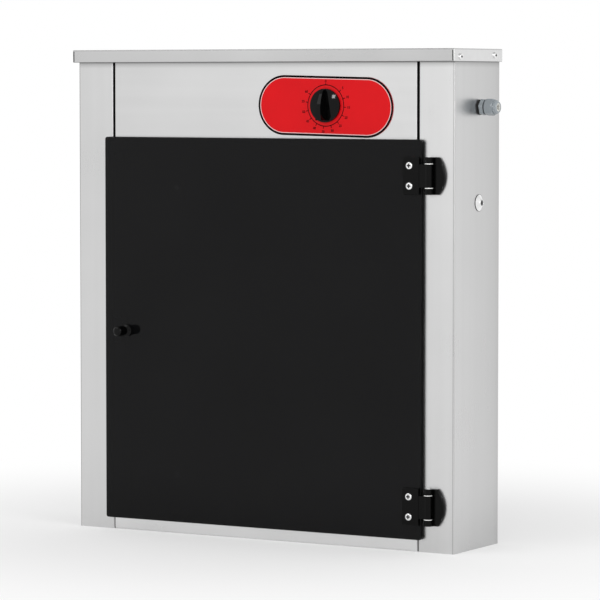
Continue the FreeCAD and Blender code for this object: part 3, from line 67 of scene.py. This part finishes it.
class Surface:
    """A material with one principled shader and the nodes that feed it."""

    def __init__(self, name, roughness=0.5, metallic=0.0, specular=0.5):
        self.material = bpy.data.materials.new(name)
        self.material.use_nodes = True
        self.tree = self.material.node_tree
        self.shader = self.tree.nodes["Principled BSDF"]
        self.shader.inputs["Roughness"].default_value = roughness
        self.shader.inputs["Metallic"].default_value = metallic
        self.shader.inputs["Specular IOR Level"].default_value = specular
        self.coordinates = self.tree.nodes.new("ShaderNodeTexCoord").outputs["Object"]
        self.material.diffuse_color = (0.5, 0.5, 0.5, 1.0)

    def link(self, output, target):
        self.tree.links.new(output, target)

    def noise(self, scale, detail=3.0, stretch=(1, 1, 1), offset=(0, 0, 0)):
        """Noise value, 0 to 1, in object space; scale is features per metre."""
        mapping = self.tree.nodes.new("ShaderNodeMapping")
        mapping.inputs["Scale"].default_value = stretch
        mapping.inputs["Location"].default_value = offset
        texture = self.tree.nodes.new("ShaderNodeTexNoise")
        texture.inputs["Scale"].default_value = scale
        texture.inputs["Detail"].default_value = detail
        texture.inputs["Roughness"].default_value = 0.5
        self.link(self.coordinates, mapping.inputs["Vector"])
        self.link(mapping.outputs["Vector"], texture.inputs["Vector"])
        return texture.outputs["Fac"]

    def spread(self, value, low, high, source=(0.3, 0.7)):
        """Value moved from the noise's usual range to low..high."""
        node = self.tree.nodes.new("ShaderNodeMapRange")
        node.inputs["From Min"].default_value = source[0]
        node.inputs["From Max"].default_value = source[1]
        node.inputs["To Min"].default_value = low
        node.inputs["To Max"].default_value = high
        self.link(value, node.inputs["Value"])
        return node.outputs["Result"]

    def added(self, first, second):
        """Sum of two value outputs."""
        node = self.tree.nodes.new("ShaderNodeMath")
        node.operation = "ADD"
        self.link(first, node.inputs[0])
        self.link(second, node.inputs[1])
        return node.outputs["Value"]

    def mixed(self, factor, first, second):
        """Colour between two colours or colour outputs."""
        node = self.tree.nodes.new("ShaderNodeMix")
        node.data_type = "RGBA"
        self.link(factor, node.inputs["Factor"])
        for name, value in (("A", first), ("B", second)):
            socket = next(s for s in node.inputs if s.name == name and s.type == "RGBA")
            if isinstance(value, tuple):
                socket.default_value = value
            else:
                self.link(value, socket)
        return next(s for s in node.outputs if s.type == "RGBA")

    def along(self, axis, points):
        """Value by place: (metres, value) points joined by straight lines, held at the ends."""
        split = self.tree.nodes.new("ShaderNodeSeparateXYZ")
        self.link(self.coordinates, split.inputs["Vector"])
        place = split.outputs[axis]
        total = None
        for (low, first), (high, last) in zip(points, points[1:]):
            node = self.tree.nodes.new("ShaderNodeMapRange")
            node.inputs["From Min"].default_value = low
            node.inputs["From Max"].default_value = high
            node.inputs["To Min"].default_value = first if total is None else 0.0
            node.inputs["To Max"].default_value = last if total is None else last - first
            self.link(place, node.inputs["Value"])
            step = node.outputs["Result"]
            total = step if total is None else self.added(total, step)
        return total

    def dimmed(self, colour, factor):
        """Colour output multiplied by a value output."""
        node = self.tree.nodes.new("ShaderNodeVectorMath")
        node.operation = "SCALE"
        self.link(colour, node.inputs[0])
        self.link(factor, node.inputs["Scale"])
        return node.outputs["Vector"]

    def colour(self, output):
        self.link(output, self.shader.inputs["Base Color"])

    def rough(self, output):
        self.link(output, self.shader.inputs["Roughness"])

    def bumped(self, height, depth):
        """Surface relief from a height output, with its depth in metres."""
        node = self.tree.nodes.new("ShaderNodeBump")
        node.inputs["Strength"].default_value = 1.0
        node.inputs["Distance"].default_value = depth
        self.link(height, node.inputs["Height"])
        self.link(node.outputs["Normal"], self.shader.inputs["Normal"])


SKIN_GRAIN = 1800


def scaled(colour, factor):
    """Opaque colour multiplied by a number, at most white."""
    return tuple(min(1.0, c * factor) for c in colour[:3]) + (1.0,)


def stainless(name, grain, shade=216, offset=(0, 0, 0), shade_places=()):
    """Satin stainless sheet; grain is the axis that the fine scratches run along."""
    surface = Surface(name, metallic=1.0)
    stretch = {"X": (0.02, 1, 1), "Z": (1, 1, 0.02)}[grain]
    scratches = surface.noise(700, detail=2.0, stretch=stretch, offset=offset)
    coarse = surface.noise(85, detail=1.0, stretch=stretch, offset=offset)
    cloud = surface.noise(9, offset=offset)
    wave = surface.noise(5.5, detail=1.0, offset=offset)
    tone = surface.mixed(surface.spread(coarse, 0, 1, (0.25, 0.75)), grey(shade - 2), grey(shade + 1))
    tone = surface.dimmed(tone, surface.spread(cloud, 0.965, 1.0))
    # Painted shade and light by place, multiplied into the steel's colour.
    for axis, points in shade_places:
        tone = surface.dimmed(tone, surface.along(axis, points))
    surface.colour(tone)
    surface.rough(surface.added(surface.spread(scratches, 0.28, 0.30),
                                surface.spread(cloud, -0.02, 0.03)))
    surface.bumped(wave, 0.0018)
    return surface.material


def moulded(name, colour, roughness=0.45, specular=0.5, texture=0.00002, vary=0.12):
    """Moulded plastic or rubber with a fine skin texture and a little unevenness."""
    surface = Surface(name, roughness=roughness, specular=specular)
    cloud = surface.noise(35, detail=4.0)
    grain = surface.noise(SKIN_GRAIN, detail=2.0)
    dark, light = scaled(colour, 1 - vary), scaled(colour, 1 + vary)
    surface.colour(surface.mixed(surface.spread(cloud, 0, 1), dark, light))
    surface.rough(surface.spread(cloud, roughness * 0.9, roughness * 1.12))
    surface.bumped(grain, texture)
    return surface.material


# Painted shade on the gland's neck, between the body's flange and the nut.
GLAND_NECK_SHADE = ("X", ((0.28225, 1.0), (0.28235, 0.12), (0.28385, 0.12), (0.28395, 1.0)))


def gland_moulding():
    """Grey moulding, with painted shade on the neck between the body's flange and the nut."""
    colour = linear(147, 154, 159)
    surface = Surface("gland_grey", roughness=0.22)
    cloud = surface.noise(35, detail=4.0)
    grain = surface.noise(SKIN_GRAIN, detail=2.0)
    tone = surface.mixed(surface.spread(cloud, 0, 1), scaled(colour, 0.95), colour)
    surface.colour(surface.dimmed(tone, surface.along(*GLAND_NECK_SHADE)))
    surface.rough(surface.spread(cloud, 0.20, 0.25))
    surface.bumped(grain, 0.000008)
    return surface.material


def plated(name, colour, roughness, stretch=(1, 1, 1)):
    """Plated or bare small metal pieces with faint tool marks."""
    surface = Surface(name, metallic=1.0)
    marks = surface.noise(1500, stretch=stretch)
    cloud = surface.noise(120)
    surface.colour(surface.mixed(surface.spread(cloud, 0, 1), scaled(colour, 0.86), colour))
    surface.rough(surface.spread(marks, roughness * 0.8, roughness * 1.3))
    surface.bumped(marks, 0.00001)
    return surface.material


def smoked_sheet():
    """Polished black see-through sheet, very slightly uneven."""
    surface = Surface("smoked_sheet", roughness=0.06, specular=0.15)
    cloud = surface.noise(7, detail=2.0)
    haze = surface.noise(40, detail=5.0)
    surface.colour(surface.mixed(surface.spread(cloud, 0, 1), linear(8, 8, 9), linear(12, 12, 13)))
    surface.rough(surface.spread(haze, 0.05, 0.11))
    surface.bumped(cloud, 0.0003)
    surface.shader.inputs["Alpha"].default_value = 0.93
    return surface.material


def clear_glass():
    """Thin clear tube with a faint haze."""
    surface = Surface("clear_quartz", roughness=0.03)
    haze = surface.noise(90)
    hazy, clear = (0.90, 0.93, 0.95, 1), (0.97, 0.98, 0.99, 1)
    surface.colour(surface.mixed(surface.spread(haze, 0, 1), hazy, clear))
    surface.rough(surface.spread(haze, 0.02, 0.07))
    surface.shader.inputs["Alpha"].default_value = 0.22
    return surface.material


def printed_plate(name, colour):
    """Printed sheet under a thin clear film with a faint orange-peel skin."""
    roughness = 0.35
    surface = Surface(name, roughness=roughness, specular=0.16)
    cloud = surface.noise(22)
    peel = surface.noise(900, detail=2.0)
    surface.colour(surface.mixed(surface.spread(cloud, 0, 1), scaled(colour, 0.94), colour))
    surface.rough(surface.spread(peel, roughness * 0.9, roughness * 1.15))
    surface.bumped(peel, 0.000008)
    return surface.material


# Painted shade and light on the steel by place: an axis, then (metres, factor) points

# Painted shade: the steel darker towards the left end.
SHADE_ACROSS = ("X", ((-0.275, 0.92), (-0.1, 0.95), (0.1, 0.95), (0.2, 0.94), (0.2722, 0.96), (0.274, 1.0)))
# Painted shade on the steel under the cap's overhang, darkest at the cap's lower edge.
SHADE_UNDER_CAP = ("Z", ((0.5965, 1.0), (0.6, 0.86), (0.6026, 0.72), (0.604, 0.42)))
# Painted shade: the side and back sheets darker towards the wall.
SHADE_TO_WALL = ("Y", ((-0.0585, 1.0), (-0.057, 0.94), (0.046, 0.82), (0.0575, 0.75)))
# Painted shade lines along the front corner bends, with a lighter band on the right bend as a painted
# highlight.
BEND_SHADE_LINES = ("X", ((-0.27498, 1.0), (-0.2749, 0.45), (-0.2736, 0.5), (-0.2728, 1.0),
                     (0.2722, 1.0), (0.2727, 0.66), (0.2735, 0.66), (0.2740, 0.9),
                     (0.2744, 0.84), (0.2749, 0.84), (0.27498, 1.0)))
# Painted light: the low lip of the base pan made lighter.
LOW_LIP_LIGHT = ("Z", ((0.016, 1.16), (0.019, 1.0)))
# Painted shade: the cap's front and top darker than its ends, most towards the right.
CAP_ACROSS = ("X", ((-0.2776, 1.0), (-0.2770, 0.79), (0.0, 0.79), (0.2770, 0.67), (0.2776, 1.03)))
# Painted shade: a dark line along the cap's lower edge and a darker band along its top bend.
CAP_EDGE_SHADE = ("Z", ((0.6041, 0.12), (0.6046, 1.0), (0.6183, 1.0), (0.6188, 0.72),
                   (0.6197, 0.72), (0.61997, 1.0)))


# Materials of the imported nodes

def dress_nodes():
    """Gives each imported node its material."""
    steel_upright = stainless("stainless_upright", "Z", shade_places=(SHADE_ACROSS, SHADE_UNDER_CAP, SHADE_TO_WALL, BEND_SHADE_LINES))
    steel_level = stainless("stainless_level", "X", offset=(3.1, 1.7, 0.4),
                            shade_places=(SHADE_ACROSS, SHADE_UNDER_CAP, LOW_LIP_LIGHT))
    steel_cap = stainless("stainless_cap", "X", shade=221, offset=(7.3, 2.2, 5.1),
                          shade_places=(CAP_EDGE_SHADE, CAP_ACROSS))
    bright = plated("bright_fixing", linear(243, 243, 243), 0.12)
    zinc = plated("zinc_fixing", linear(196, 198, 200), 0.28)
    mirror = plated("reflector_sheet", linear(228, 230, 232), 0.10, stretch=(0.05, 1, 1))
    dull_cap = plated("tube_cap", linear(200, 200, 198), 0.34)
    rubber = moulded("black_rubber", linear(22, 22, 22), 0.62, 0.3, 0.00004)
    hinge_black = moulded("hinge_black", linear(5, 5, 5), 0.13, 0.11, 0.000002)
    gloss_black = moulded("gloss_black", linear(3, 3, 3), 0.06, 0.15, 0.0000008)
    case_black = moulded("case_black", linear(30, 30, 31), 0.5, 0.35)
    white = moulded("white_moulding", linear(240, 240, 238), 0.42, 0.5, vary=0.02)
    gland_grey = gland_moulding()
    pale_rubber = moulded("pale_rubber", linear(206, 206, 202), 0.45, 0.4, 0.00001, vary=0.05)
    sheath = moulded("lead_sheath", linear(36, 36, 38), 0.4, 0.4)
    enamel = moulded("ballast_enamel", linear(222, 224, 224), 0.35, 0.45, 0.00001, vary=0.03)
    red = printed_plate("label_red", linear(214, 6, 17))
    chosen = {
        steel_upright: ["left_side_panel", "right_side_panel", "back_panel"],
        steel_level: ["control_fascia", "base_pan", "compartment_divider", "knife_rack"],
        steel_cap: ["top_cover"],
        mirror: ["lamp_reflector"],
        bright: ["cap_screws", "hinge_door_screws", "side_cup_washer", "upper_hinge_pin",
                 "lower_hinge_pin", "lamp_guard"],
        plated("dull_screw", linear(84, 84, 86), 0.3): ["side_screw"],
        zinc: ["back_panel_screws", "m4_nuts", "shelf_screws", "hinge_frame_screws",
               "door_knob_screw", "catch_strike", "catch_screws", "switch_bracket",
               "timer_screws", "timer_spindle", "ballast_screws"],
        dull_cap: ["uv_tube_caps"],
        rubber: ["lead_grommets", "door_seal", "gland_washer"],
        pale_rubber: ["gland_seal"],
        hinge_black: [height + "_hinge_" + piece for height in ("upper", "lower")
                      for piece in ("door_leaf", "frame_leaf", "cover")] + ["hinge_backing_plates"],
        gloss_black: ["door_knob", "timer_knob"],
        case_black: ["magnetic_catch", "door_switch", "switch_striker", "timer_case"],
        white: ["lampholders", "lampholder_rotors", "hinge_washers", "switch_plunger",
                "ballast_terminals", "terminal_block"],
        gland_grey: ["gland_body", "gland_locknut", "gland_nut"],
        sheath: ["internal_wiring"],
        enamel: ["ballast"],
        red: ["label_plate"],
        smoked_sheet(): ["door_panel"],
        clear_glass(): ["uv_tube"],
    }
    for material, names in chosen.items():
        for name in names:
            data = nodes[name].data
            data.materials.clear()
            data.materials.append(material)


# Printed marks on the label, in millimetres; points of the label are (x, z)

LABEL_FACE = -60.8
LABEL_MIDDLE = (93.2, 548.8)
LABEL_HALF = (96.4, 37.5)
LABEL_TILT = math.radians(-1.3)
BORDER_FRONT = LABEL_FACE - 0.1
PRINT_FRONT = LABEL_FACE - 0.08
BORDER_INSETS = (0.02, 2.7)
LINE_INSETS = (2.75, 3.6)
DIAL = (94.0, 549.7)
DIAL_RADIUS = 25.7
DIAL_LINE_HALF = 0.5
TICK_START, TICK_HALF = 0.3, 0.45
FIRST_TURN, LAST_TURN = 48, 302
NUMBER_COUNT, NUMBER_STEP = 13, 5


class Solid:
    """Closed mesh built up from flat outlines, in millimetres."""

    def __init__(self, name, body, slot, material):
        self.name, self.body, self.slot, self.material = name, body, slot, material
        self.points, self.faces = [], []

    def band(self, outer, inner, front, rear):
        """Closed strip between two matching loops of (x, z) points."""
        count, start = len(outer), len(self.points)
        for depth in (front, rear):
            for loop in (outer, inner):
                self.points += [(x * MM, depth * MM, z * MM) for x, z in loop]
        front_outer, front_inner, rear_outer, rear_inner = (start + count * k for k in range(4))
        for k in range(count):
            n = (k + 1) % count
            self.faces += [(front_outer + k, front_outer + n, front_inner + n, front_inner + k),
                           (rear_outer + n, rear_outer + k, rear_inner + k, rear_inner + n),
                           (front_outer + n, front_outer + k, rear_outer + k, rear_outer + n),
                           (front_inner + k, front_inner + n, rear_inner + n, rear_inner + k)]

    def slab(self, outline, front, rear):
        """Flat piece with a (x, z) outline."""
        count, start = len(outline), len(self.points)
        for depth in (front, rear):
            self.points += [(x * MM, depth * MM, z * MM) for x, z in outline]
        self.faces.append(tuple(range(start, start + count)))
        self.faces.append(tuple(range(start + 2 * count - 1, start + count - 1, -1)))
        for k in range(count):
            n = (k + 1) % count
            self.faces.append((start + n, start + k, start + count + k, start + count + n))

    def ring_on_wall(self, centre, outer, inner, wall, front):
        """Flat ring on the right side wall, round a (y, z) centre."""
        steps = 64
        start = len(self.points)
        self.band(circle(centre, outer, steps), circle(centre, inner, steps), wall, front)
        self.points[start:] = [(y, x, z) for x, y, z in self.points[start:]]

    def add_mesh(self, mesh, matrix):
        """Copy of a mesh in metres, moved by a matrix."""
        start = len(self.points)
        self.points += [tuple(matrix @ vertex.co) for vertex in mesh.vertices]
        self.faces += [tuple(start + index for index in face.vertices) for face in mesh.polygons]

    def finish(self):
        """Makes the mesh a flat-shaded piece, with its faces turned outward."""
        mesh = bpy.data.meshes.new(self.name)
        mesh.from_pydata(self.points, [], self.faces)
        bm = bmesh.new()
        bm.from_mesh(mesh)
        bmesh.ops.recalc_face_normals(bm, faces=bm.faces)
        bm.to_mesh(mesh)
        bm.free()
        for face in mesh.polygons:
            face.use_smooth = False
        mesh.materials.append(self.material)
        piece = bpy.data.objects.new(self.name, mesh)
        scene.collection.objects.link(piece)
        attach(piece, self.body)


def circle(centre, radius, steps=96):
    """Round (x, z) outline."""
    return [(centre[0] + radius * math.cos(2 * math.pi * k / steps),
             centre[1] + radius * math.sin(2 * math.pi * k / steps)) for k in range(steps)]


def label_outline(inset):
    """The label's round-ended outline, set in by a margin and turned with the label."""
    steps = 40
    radius = LABEL_HALF[1] - inset
    reach = LABEL_HALF[0] - LABEL_HALF[1]
    outline = []
    for side, start in ((1, -90), (-1, 90)):
        for step in range(steps + 1):
            angle = math.radians(start + 180 * step / steps)
            x, z = side * reach + radius * math.cos(angle), radius * math.sin(angle)
            outline.append((LABEL_MIDDLE[0] + x * math.cos(LABEL_TILT) - z * math.sin(LABEL_TILT),
                            LABEL_MIDDLE[1] + x * math.sin(LABEL_TILT) + z * math.cos(LABEL_TILT)))
    return outline


def label_print(black, pale, dark_red):
    """Outline, inner line and timer scale, printed a hair above the label."""
    border = Solid("label_border", "cabinet", "gloss_black", black)
    border.band(*map(label_outline, BORDER_INSETS), BORDER_FRONT, LABEL_FACE)
    border.finish()
    line = Solid("label_inner_line", "cabinet", "white_plastic", pale)
    line.band(*map(label_outline, LINE_INSETS), PRINT_FRONT, LABEL_FACE)
    line.finish()
    marks = Solid("dial_marks", "cabinet", "red_label", dark_red)
    marks.band(circle(DIAL, DIAL_RADIUS + DIAL_LINE_HALF), circle(DIAL, DIAL_RADIUS - DIAL_LINE_HALF),
               PRINT_FRONT, LABEL_FACE)
    gaps = NUMBER_COUNT - 2
    for number in range(NUMBER_COUNT):
        top = number == 0
        turn = 0.0 if top else math.radians(FIRST_TURN + (LAST_TURN - FIRST_TURN) / gaps * (number - 1))
        tick_end, number_radius = (1.9, 29.9) if top else (3.3, 32.6)
        corners = ((TICK_START, -TICK_HALF), (TICK_START, TICK_HALF),
                   (tick_end, TICK_HALF), (tick_end, -TICK_HALF))
        tick = [on_dial(turn, DIAL_RADIUS + reach, half) for reach, half in corners]
        marks.slab(tick, PRINT_FRONT, LABEL_FACE)
        add_number(marks, str(number * NUMBER_STEP), *on_dial(turn, number_radius))
    marks.finish()


def on_dial(turn, radius, aside=0.0):
    """Point of the label at a clockwise turn and radius from the dial's middle, moved aside."""
    out_x, out_z = math.sin(turn), math.cos(turn)
    return DIAL[0] + out_x * radius + out_z * aside, DIAL[1] + out_z * radius - out_x * aside


def add_number(marks, text, x, z):
    """Upright number, 3 mm tall, centred on a point of the label."""
    curve = bpy.data.curves.new("number", "FONT")
    curve.body = text
    curve.size = 4.3 * MM
    curve.offset = 0.09 * MM
    curve.extrude = 0.04 * MM
    curve.align_x = "CENTER"
    curve.align_y = "CENTER"
    writing = bpy.data.objects.new("number", curve)
    writing.rotation_euler = (math.radians(90), 0, 0)
    writing.location = (x * MM, (LABEL_FACE - 0.04) * MM, z * MM)
    scene.collection.objects.link(writing)
    bpy.context.view_layer.update()
    depsgraph = bpy.context.evaluated_depsgraph_get()
    mesh = bpy.data.meshes.new_from_object(writing.evaluated_get(depsgraph))
    marks.add_mesh(mesh, writing.matrix_world)
    bpy.data.objects.remove(writing)
    bpy.data.curves.remove(curve)
    bpy.data.meshes.remove(mesh)


# Small details of recesses, seams and edges, in millimetres; the dark recess, seam and washer pieces are
# painted shade

CAP_FRONT = -69.3
CAP_SEAM = 276.5
CAP_SCREWS = ((-53.0, 609.7), (39.0, 612.0))
DOOR_FRONT = -66.5
DOOR_LEFT, DOOR_RIGHT, DOOR_BOTTOM, DOOR_TOP = -230.6, 232.3, 15.4, 508.5
LEAF_THICK, SCREW_SEAT, SCREW_HEAD = 4.0, 0.8, 2.6
HINGE_HEIGHTS = (464.2, 56.6)
HINGE_SCREW_X, HINGE_SCREW_HALF = 217.4, 12.5
SIDE_WALL = 275.0
SIDE_SCREW = (3.9, 429.9)
HINGE_RECESS = (0.5, 1.66)
CAP_RECESS = (279.25, 280.1)
SIDE_RECESS = (277.95, 278.9)


def box_between(bm, low, high):
    """Adds a box to a mesh being built, corners in millimetres."""
    made = bmesh.ops.create_cube(bm, size=1.0)
    for vertex in made["verts"]:
        vertex.co = [((a + b) / 2 + c * (b - a)) * MM for a, b, c in zip(low, high, vertex.co)]


def boxes_piece(name, body, material, boxes):
    """One piece made of plain boxes."""
    bm = bmesh.new()
    for low, high in boxes:
        box_between(bm, low, high)
    mesh = bpy.data.meshes.new(name)
    bm.to_mesh(mesh)
    bm.free()
    mesh.materials.append(material)
    piece = bpy.data.objects.new(name, mesh)
    scene.collection.objects.link(piece)
    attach(piece, body)


def cross(centre, axis, low, high, arm, width):
    """Two crossed boxes between two levels along an axis."""
    boxes = []
    for half_a, half_b in ((arm, width), (width, arm)):
        halves = {"X": (0, half_a, half_b), "Y": (half_a, 0, half_b)}[axis]
        least = [c - h for c, h in zip(centre, halves)]
        most = [c + h for c, h in zip(centre, halves)]
        along = "XYZ".index(axis)
        least[along], most[along] = low, high
        boxes.append((least, most))
    return boxes


def painted_shade_details():
    """Painted shade: dark boxes in the screw recesses, dark and grey strips in the seams, and a dark
    ring for the shadow round the cup washer.
    """
    shade = moulded("recess_shade", linear(24, 24, 25), 0.5, 0.2, 0.00001)
    screw_recesses(shade)
    seam_shade_strips()
    edge_bands()
    # Painted shadow: a dark ring round the rim of the cup washer.
    shadow_ring = Solid("cup_washer_shadow_ring", "cabinet", "black_rubber", shade)
    shadow_ring.ring_on_wall(SIDE_SCREW, outer=10.6, inner=9.9, wall=SIDE_WALL, front=SIDE_WALL + 0.5)
    shadow_ring.finish()


def screw_recesses(shade):
    """Crossed dark boxes in the recesses of the hinge, cap and side screws, as painted shade."""
    face = DOOR_FRONT - LEAF_THICK + SCREW_SEAT - SCREW_HEAD
    low, high = (face + depth for depth in HINGE_RECESS)
    boxes = []
    for centre in HINGE_HEIGHTS:
        for half in (-HINGE_SCREW_HALF, HINGE_SCREW_HALF):
            place = (HINGE_SCREW_X, 0, centre + half)
            boxes += cross(place, "Y", low, high, arm=2.54, width=0.84)
    boxes_piece("hinge_screw_recess_shade", "door", shade, boxes)
    boxes = []
    for sign in (-1, 1):
        low, high = sorted(sign * x for x in CAP_RECESS)
        for y, z in CAP_SCREWS:
            boxes += cross((0, y, z), "X", low, high, arm=2.2, width=0.72)
    boxes += cross((0, *SIDE_SCREW), "X", *SIDE_RECESS, arm=2.06, width=0.46)
    boxes_piece("side_screw_recess_shade", "cabinet", shade, boxes)


def seam_shade_strips():
    """Painted shade: dark strips behind the front and cap seams, and a grey strip coloured as shaded
    steel behind the right lower seam.
    """
    half, low, high = 0.75, 605.2, 618.1
    seams = []
    for x in (-CAP_SEAM, CAP_SEAM):
        seams.append(((x - half, CAP_FRONT - 0.03, low), (x + half, CAP_FRONT + 0.8, high)))
    for left, right in ((-222.05, -219.55), (222.55, 225.05)):
        seams.append(((left, -59.8, 500.5), (right, -58.4, 603.9)))
    seams.append(((-222.15, -59.6, 0.6), (-220.75, -58.9, 24.9)))
    dark_seam_shade = moulded("seam_shade_dark", linear(4, 4, 4), 0.6, 0.04, 0.00001)
    boxes_piece("seam_shade_strips", "cabinet", dark_seam_shade, seams)
    # Painted shade: grey of steel in shade, filling the right lower seam.
    grey_seam_shade = moulded("seam_shade_grey", linear(128, 128, 128), 0.5, 0.1, 0.00001)
    right_lower = ((223.75, -59.7, 0.6), (225.15, -58.9, 24.9))
    boxes_piece("lower_seam_shade_strip", "cabinet", grey_seam_shade, [right_lower])


def edge_bands():
    """Matt black bands on the door sheet's four narrow sides, between its rounded corners."""
    matt = moulded("sheet_edge", linear(6, 6, 6), 0.5, 0.03, 0.00001)
    front, rear, thick, corner = -65.9, -61.55, 0.05, 3.1
    bands = []
    for x in (DOOR_LEFT, DOOR_RIGHT):
        bands.append(((x - thick, front, DOOR_BOTTOM + corner), (x + thick, rear, DOOR_TOP - corner)))
    for z in (DOOR_BOTTOM, DOOR_TOP):
        bands.append(((DOOR_LEFT + corner, front, z - thick), (DOOR_RIGHT - corner, rear, z + thick)))
    boxes_piece("door_edge_bands", "door", matt, bands)


# Stage and light

def stage_floor():
    """Wide pale floor that fades into the white background and keeps the object's shadow."""
    reach, near, far, near_glow = 14.0, 0.30, 0.95, 0.3
    mesh = bpy.data.meshes.new("floor")
    corners = [(-reach, -reach, 0), (reach, -reach, 0), (reach, reach, 0), (-reach, reach, 0)]
    mesh.from_pydata(corners, [], [(0, 1, 2, 3)])
    floor = bpy.data.objects.new("floor", mesh)
    scene.collection.objects.link(floor)
    material = bpy.data.materials.new("floor")
    material.use_nodes = True
    tree = material.node_tree
    tree.nodes.clear()
    output = tree.nodes.new("ShaderNodeOutputMaterial")
    matte = tree.nodes.new("ShaderNodeBsdfDiffuse")
    matte.inputs["Color"].default_value = (0.92, 0.92, 0.92, 1)
    glow = tree.nodes.new("ShaderNodeEmission")
    glow.inputs["Strength"].default_value = 1.0
    coordinates = tree.nodes.new("ShaderNodeTexCoord")
    length = tree.nodes.new("ShaderNodeVectorMath")
    length.operation = "LENGTH"
    fade = tree.nodes.new("ShaderNodeMapRange")
    fade.interpolation_type = "SMOOTHSTEP"
    fade.inputs["From Min"].default_value = near
    fade.inputs["From Max"].default_value = far
    fade.inputs["To Min"].default_value = near_glow
    seen = seen_rays(tree)
    both = tree.nodes.new("ShaderNodeMath")
    both.operation = "MULTIPLY"
    mix = tree.nodes.new("ShaderNodeMixShader")
    link = tree.links.new
    link(coordinates.outputs["Object"], length.inputs[0])
    link(length.outputs["Value"], fade.inputs["Value"])
    link(fade.outputs["Result"], both.inputs[0])
    link(seen, both.inputs[1])
    link(both.outputs["Value"], mix.inputs["Fac"])
    link(matte.outputs["BSDF"], mix.inputs[1])
    link(glow.outputs["Emission"], mix.inputs[2])
    link(mix.outputs["Shader"], output.inputs["Surface"])
    mesh.materials.append(material)


def seen_rays(tree):
    """1 for camera, glossy and transmission rays, 0 for the rays that light things."""
    path = tree.nodes.new("ShaderNodeLightPath")
    total = path.outputs["Is Camera Ray"]
    for name in ("Is Glossy Ray", "Is Transmission Ray"):
        either = tree.nodes.new("ShaderNodeMath")
        either.operation = "MAXIMUM"
        tree.links.new(total, either.inputs[0])
        tree.links.new(path.outputs[name], either.inputs[1])
        total = either.outputs["Value"]
    return total


def world_light():
    """White surroundings with a darker ceiling and a narrow dark gap, and a plain soft light."""
    world = bpy.data.worlds.new("studio")
    scene.world = world
    world.use_nodes = True
    tree = world.node_tree
    tree.nodes.clear()
    output = tree.nodes.new("ShaderNodeOutputWorld")
    lamp = tree.nodes.new("ShaderNodeBackground")
    lamp.inputs["Strength"].default_value = 0.76
    backdrop = tree.nodes.new("ShaderNodeBackground")
    for background in (lamp, backdrop):
        background.inputs["Color"].default_value = (1, 1, 1, 1)
    mix = tree.nodes.new("ShaderNodeMixShader")
    high = darker_toward(tree, (0, 0, 1), 0.35, 0.8, 0.6)
    gap = darker_toward(tree, (0.26, -0.966, 0), 0.990, 0.9975, 0.35)
    path = tree.nodes.new("ShaderNodeLightPath")
    both = tree.nodes.new("ShaderNodeMath")
    both.operation = "MULTIPLY"
    keep = tree.nodes.new("ShaderNodeMath")
    keep.operation = "MAXIMUM"
    link = tree.links.new
    link(high, both.inputs[0])
    link(gap, both.inputs[1])
    link(both.outputs["Value"], keep.inputs[0])
    link(path.outputs["Is Camera Ray"], keep.inputs[1])
    link(keep.outputs["Value"], backdrop.inputs["Strength"])
    link(seen_rays(tree), mix.inputs["Fac"])
    link(lamp.outputs["Background"], mix.inputs[1])
    link(backdrop.outputs["Background"], mix.inputs[2])
    link(mix.outputs["Shader"], output.inputs["Surface"])


def darker_toward(tree, direction, start, end, level):
    """Factor that falls from 1 to a level as the sky's direction turns to a given one."""
    coordinates = tree.nodes.new("ShaderNodeTexCoord")
    facing = tree.nodes.new("ShaderNodeVectorMath")
    facing.operation = "DOT_PRODUCT"
    facing.inputs[1].default_value = direction
    shade = tree.nodes.new("ShaderNodeMapRange")
    shade.interpolation_type = "SMOOTHSTEP"
    shade.inputs["From Min"].default_value = start
    shade.inputs["From Max"].default_value = end
    shade.inputs["To Min"].default_value = 1.0
    shade.inputs["To Max"].default_value = level
    tree.links.new(coordinates.outputs["Generated"], facing.inputs[0])
    tree.links.new(facing.outputs["Value"], shade.inputs["Value"])
    return shade.outputs["Result"]


def soft_lamp(name, place, target, size, power, height=None):
    """Square or upright soft lamp aimed at a point."""
    data = bpy.data.lights.new(name, "AREA")
    data.shape = "RECTANGLE"
    data.size = size
    data.size_y = height or size
    data.energy = power
    lamp = bpy.data.objects.new(name, data)
    lamp.location = place
    lamp.rotation_euler = (Vector(target) - Vector(place)).to_track_quat("-Z", "Y").to_euler()
    scene.collection.objects.link(lamp)


add_camera()
stage_floor()
world_light()
soft_lamp("key", (-1.8, -2.6, 3.1), (0, 0, 0.35), 2.0, 20)
soft_lamp("front", (-0.905, -3.85, 1.36), (0.1, -0.06, 0.55), 0.30, 9)
soft_lamp("near_camera", (1.9, -3.4, 1.2), (0.2, -0.06, 0.35), 1.3, 13, height=1.5)
soft_lamp("fill", (2.4, -0.9, 1.6), (0, 0, 0.3), 1.4, 14)
dress_nodes()
painted_shade_details()
label_print(moulded("print_black", linear(3, 3, 3), 0.32, 0.06, 0.000004),
            moulded("print_pale", linear(236, 196, 196), 0.4, 0.16, 0.000004, vary=0.04),
            moulded("print_dark_red", linear(16, 0, 2), 0.36, 0.06, 0.000004))

scene.view_settings.view_transform = "Standard"
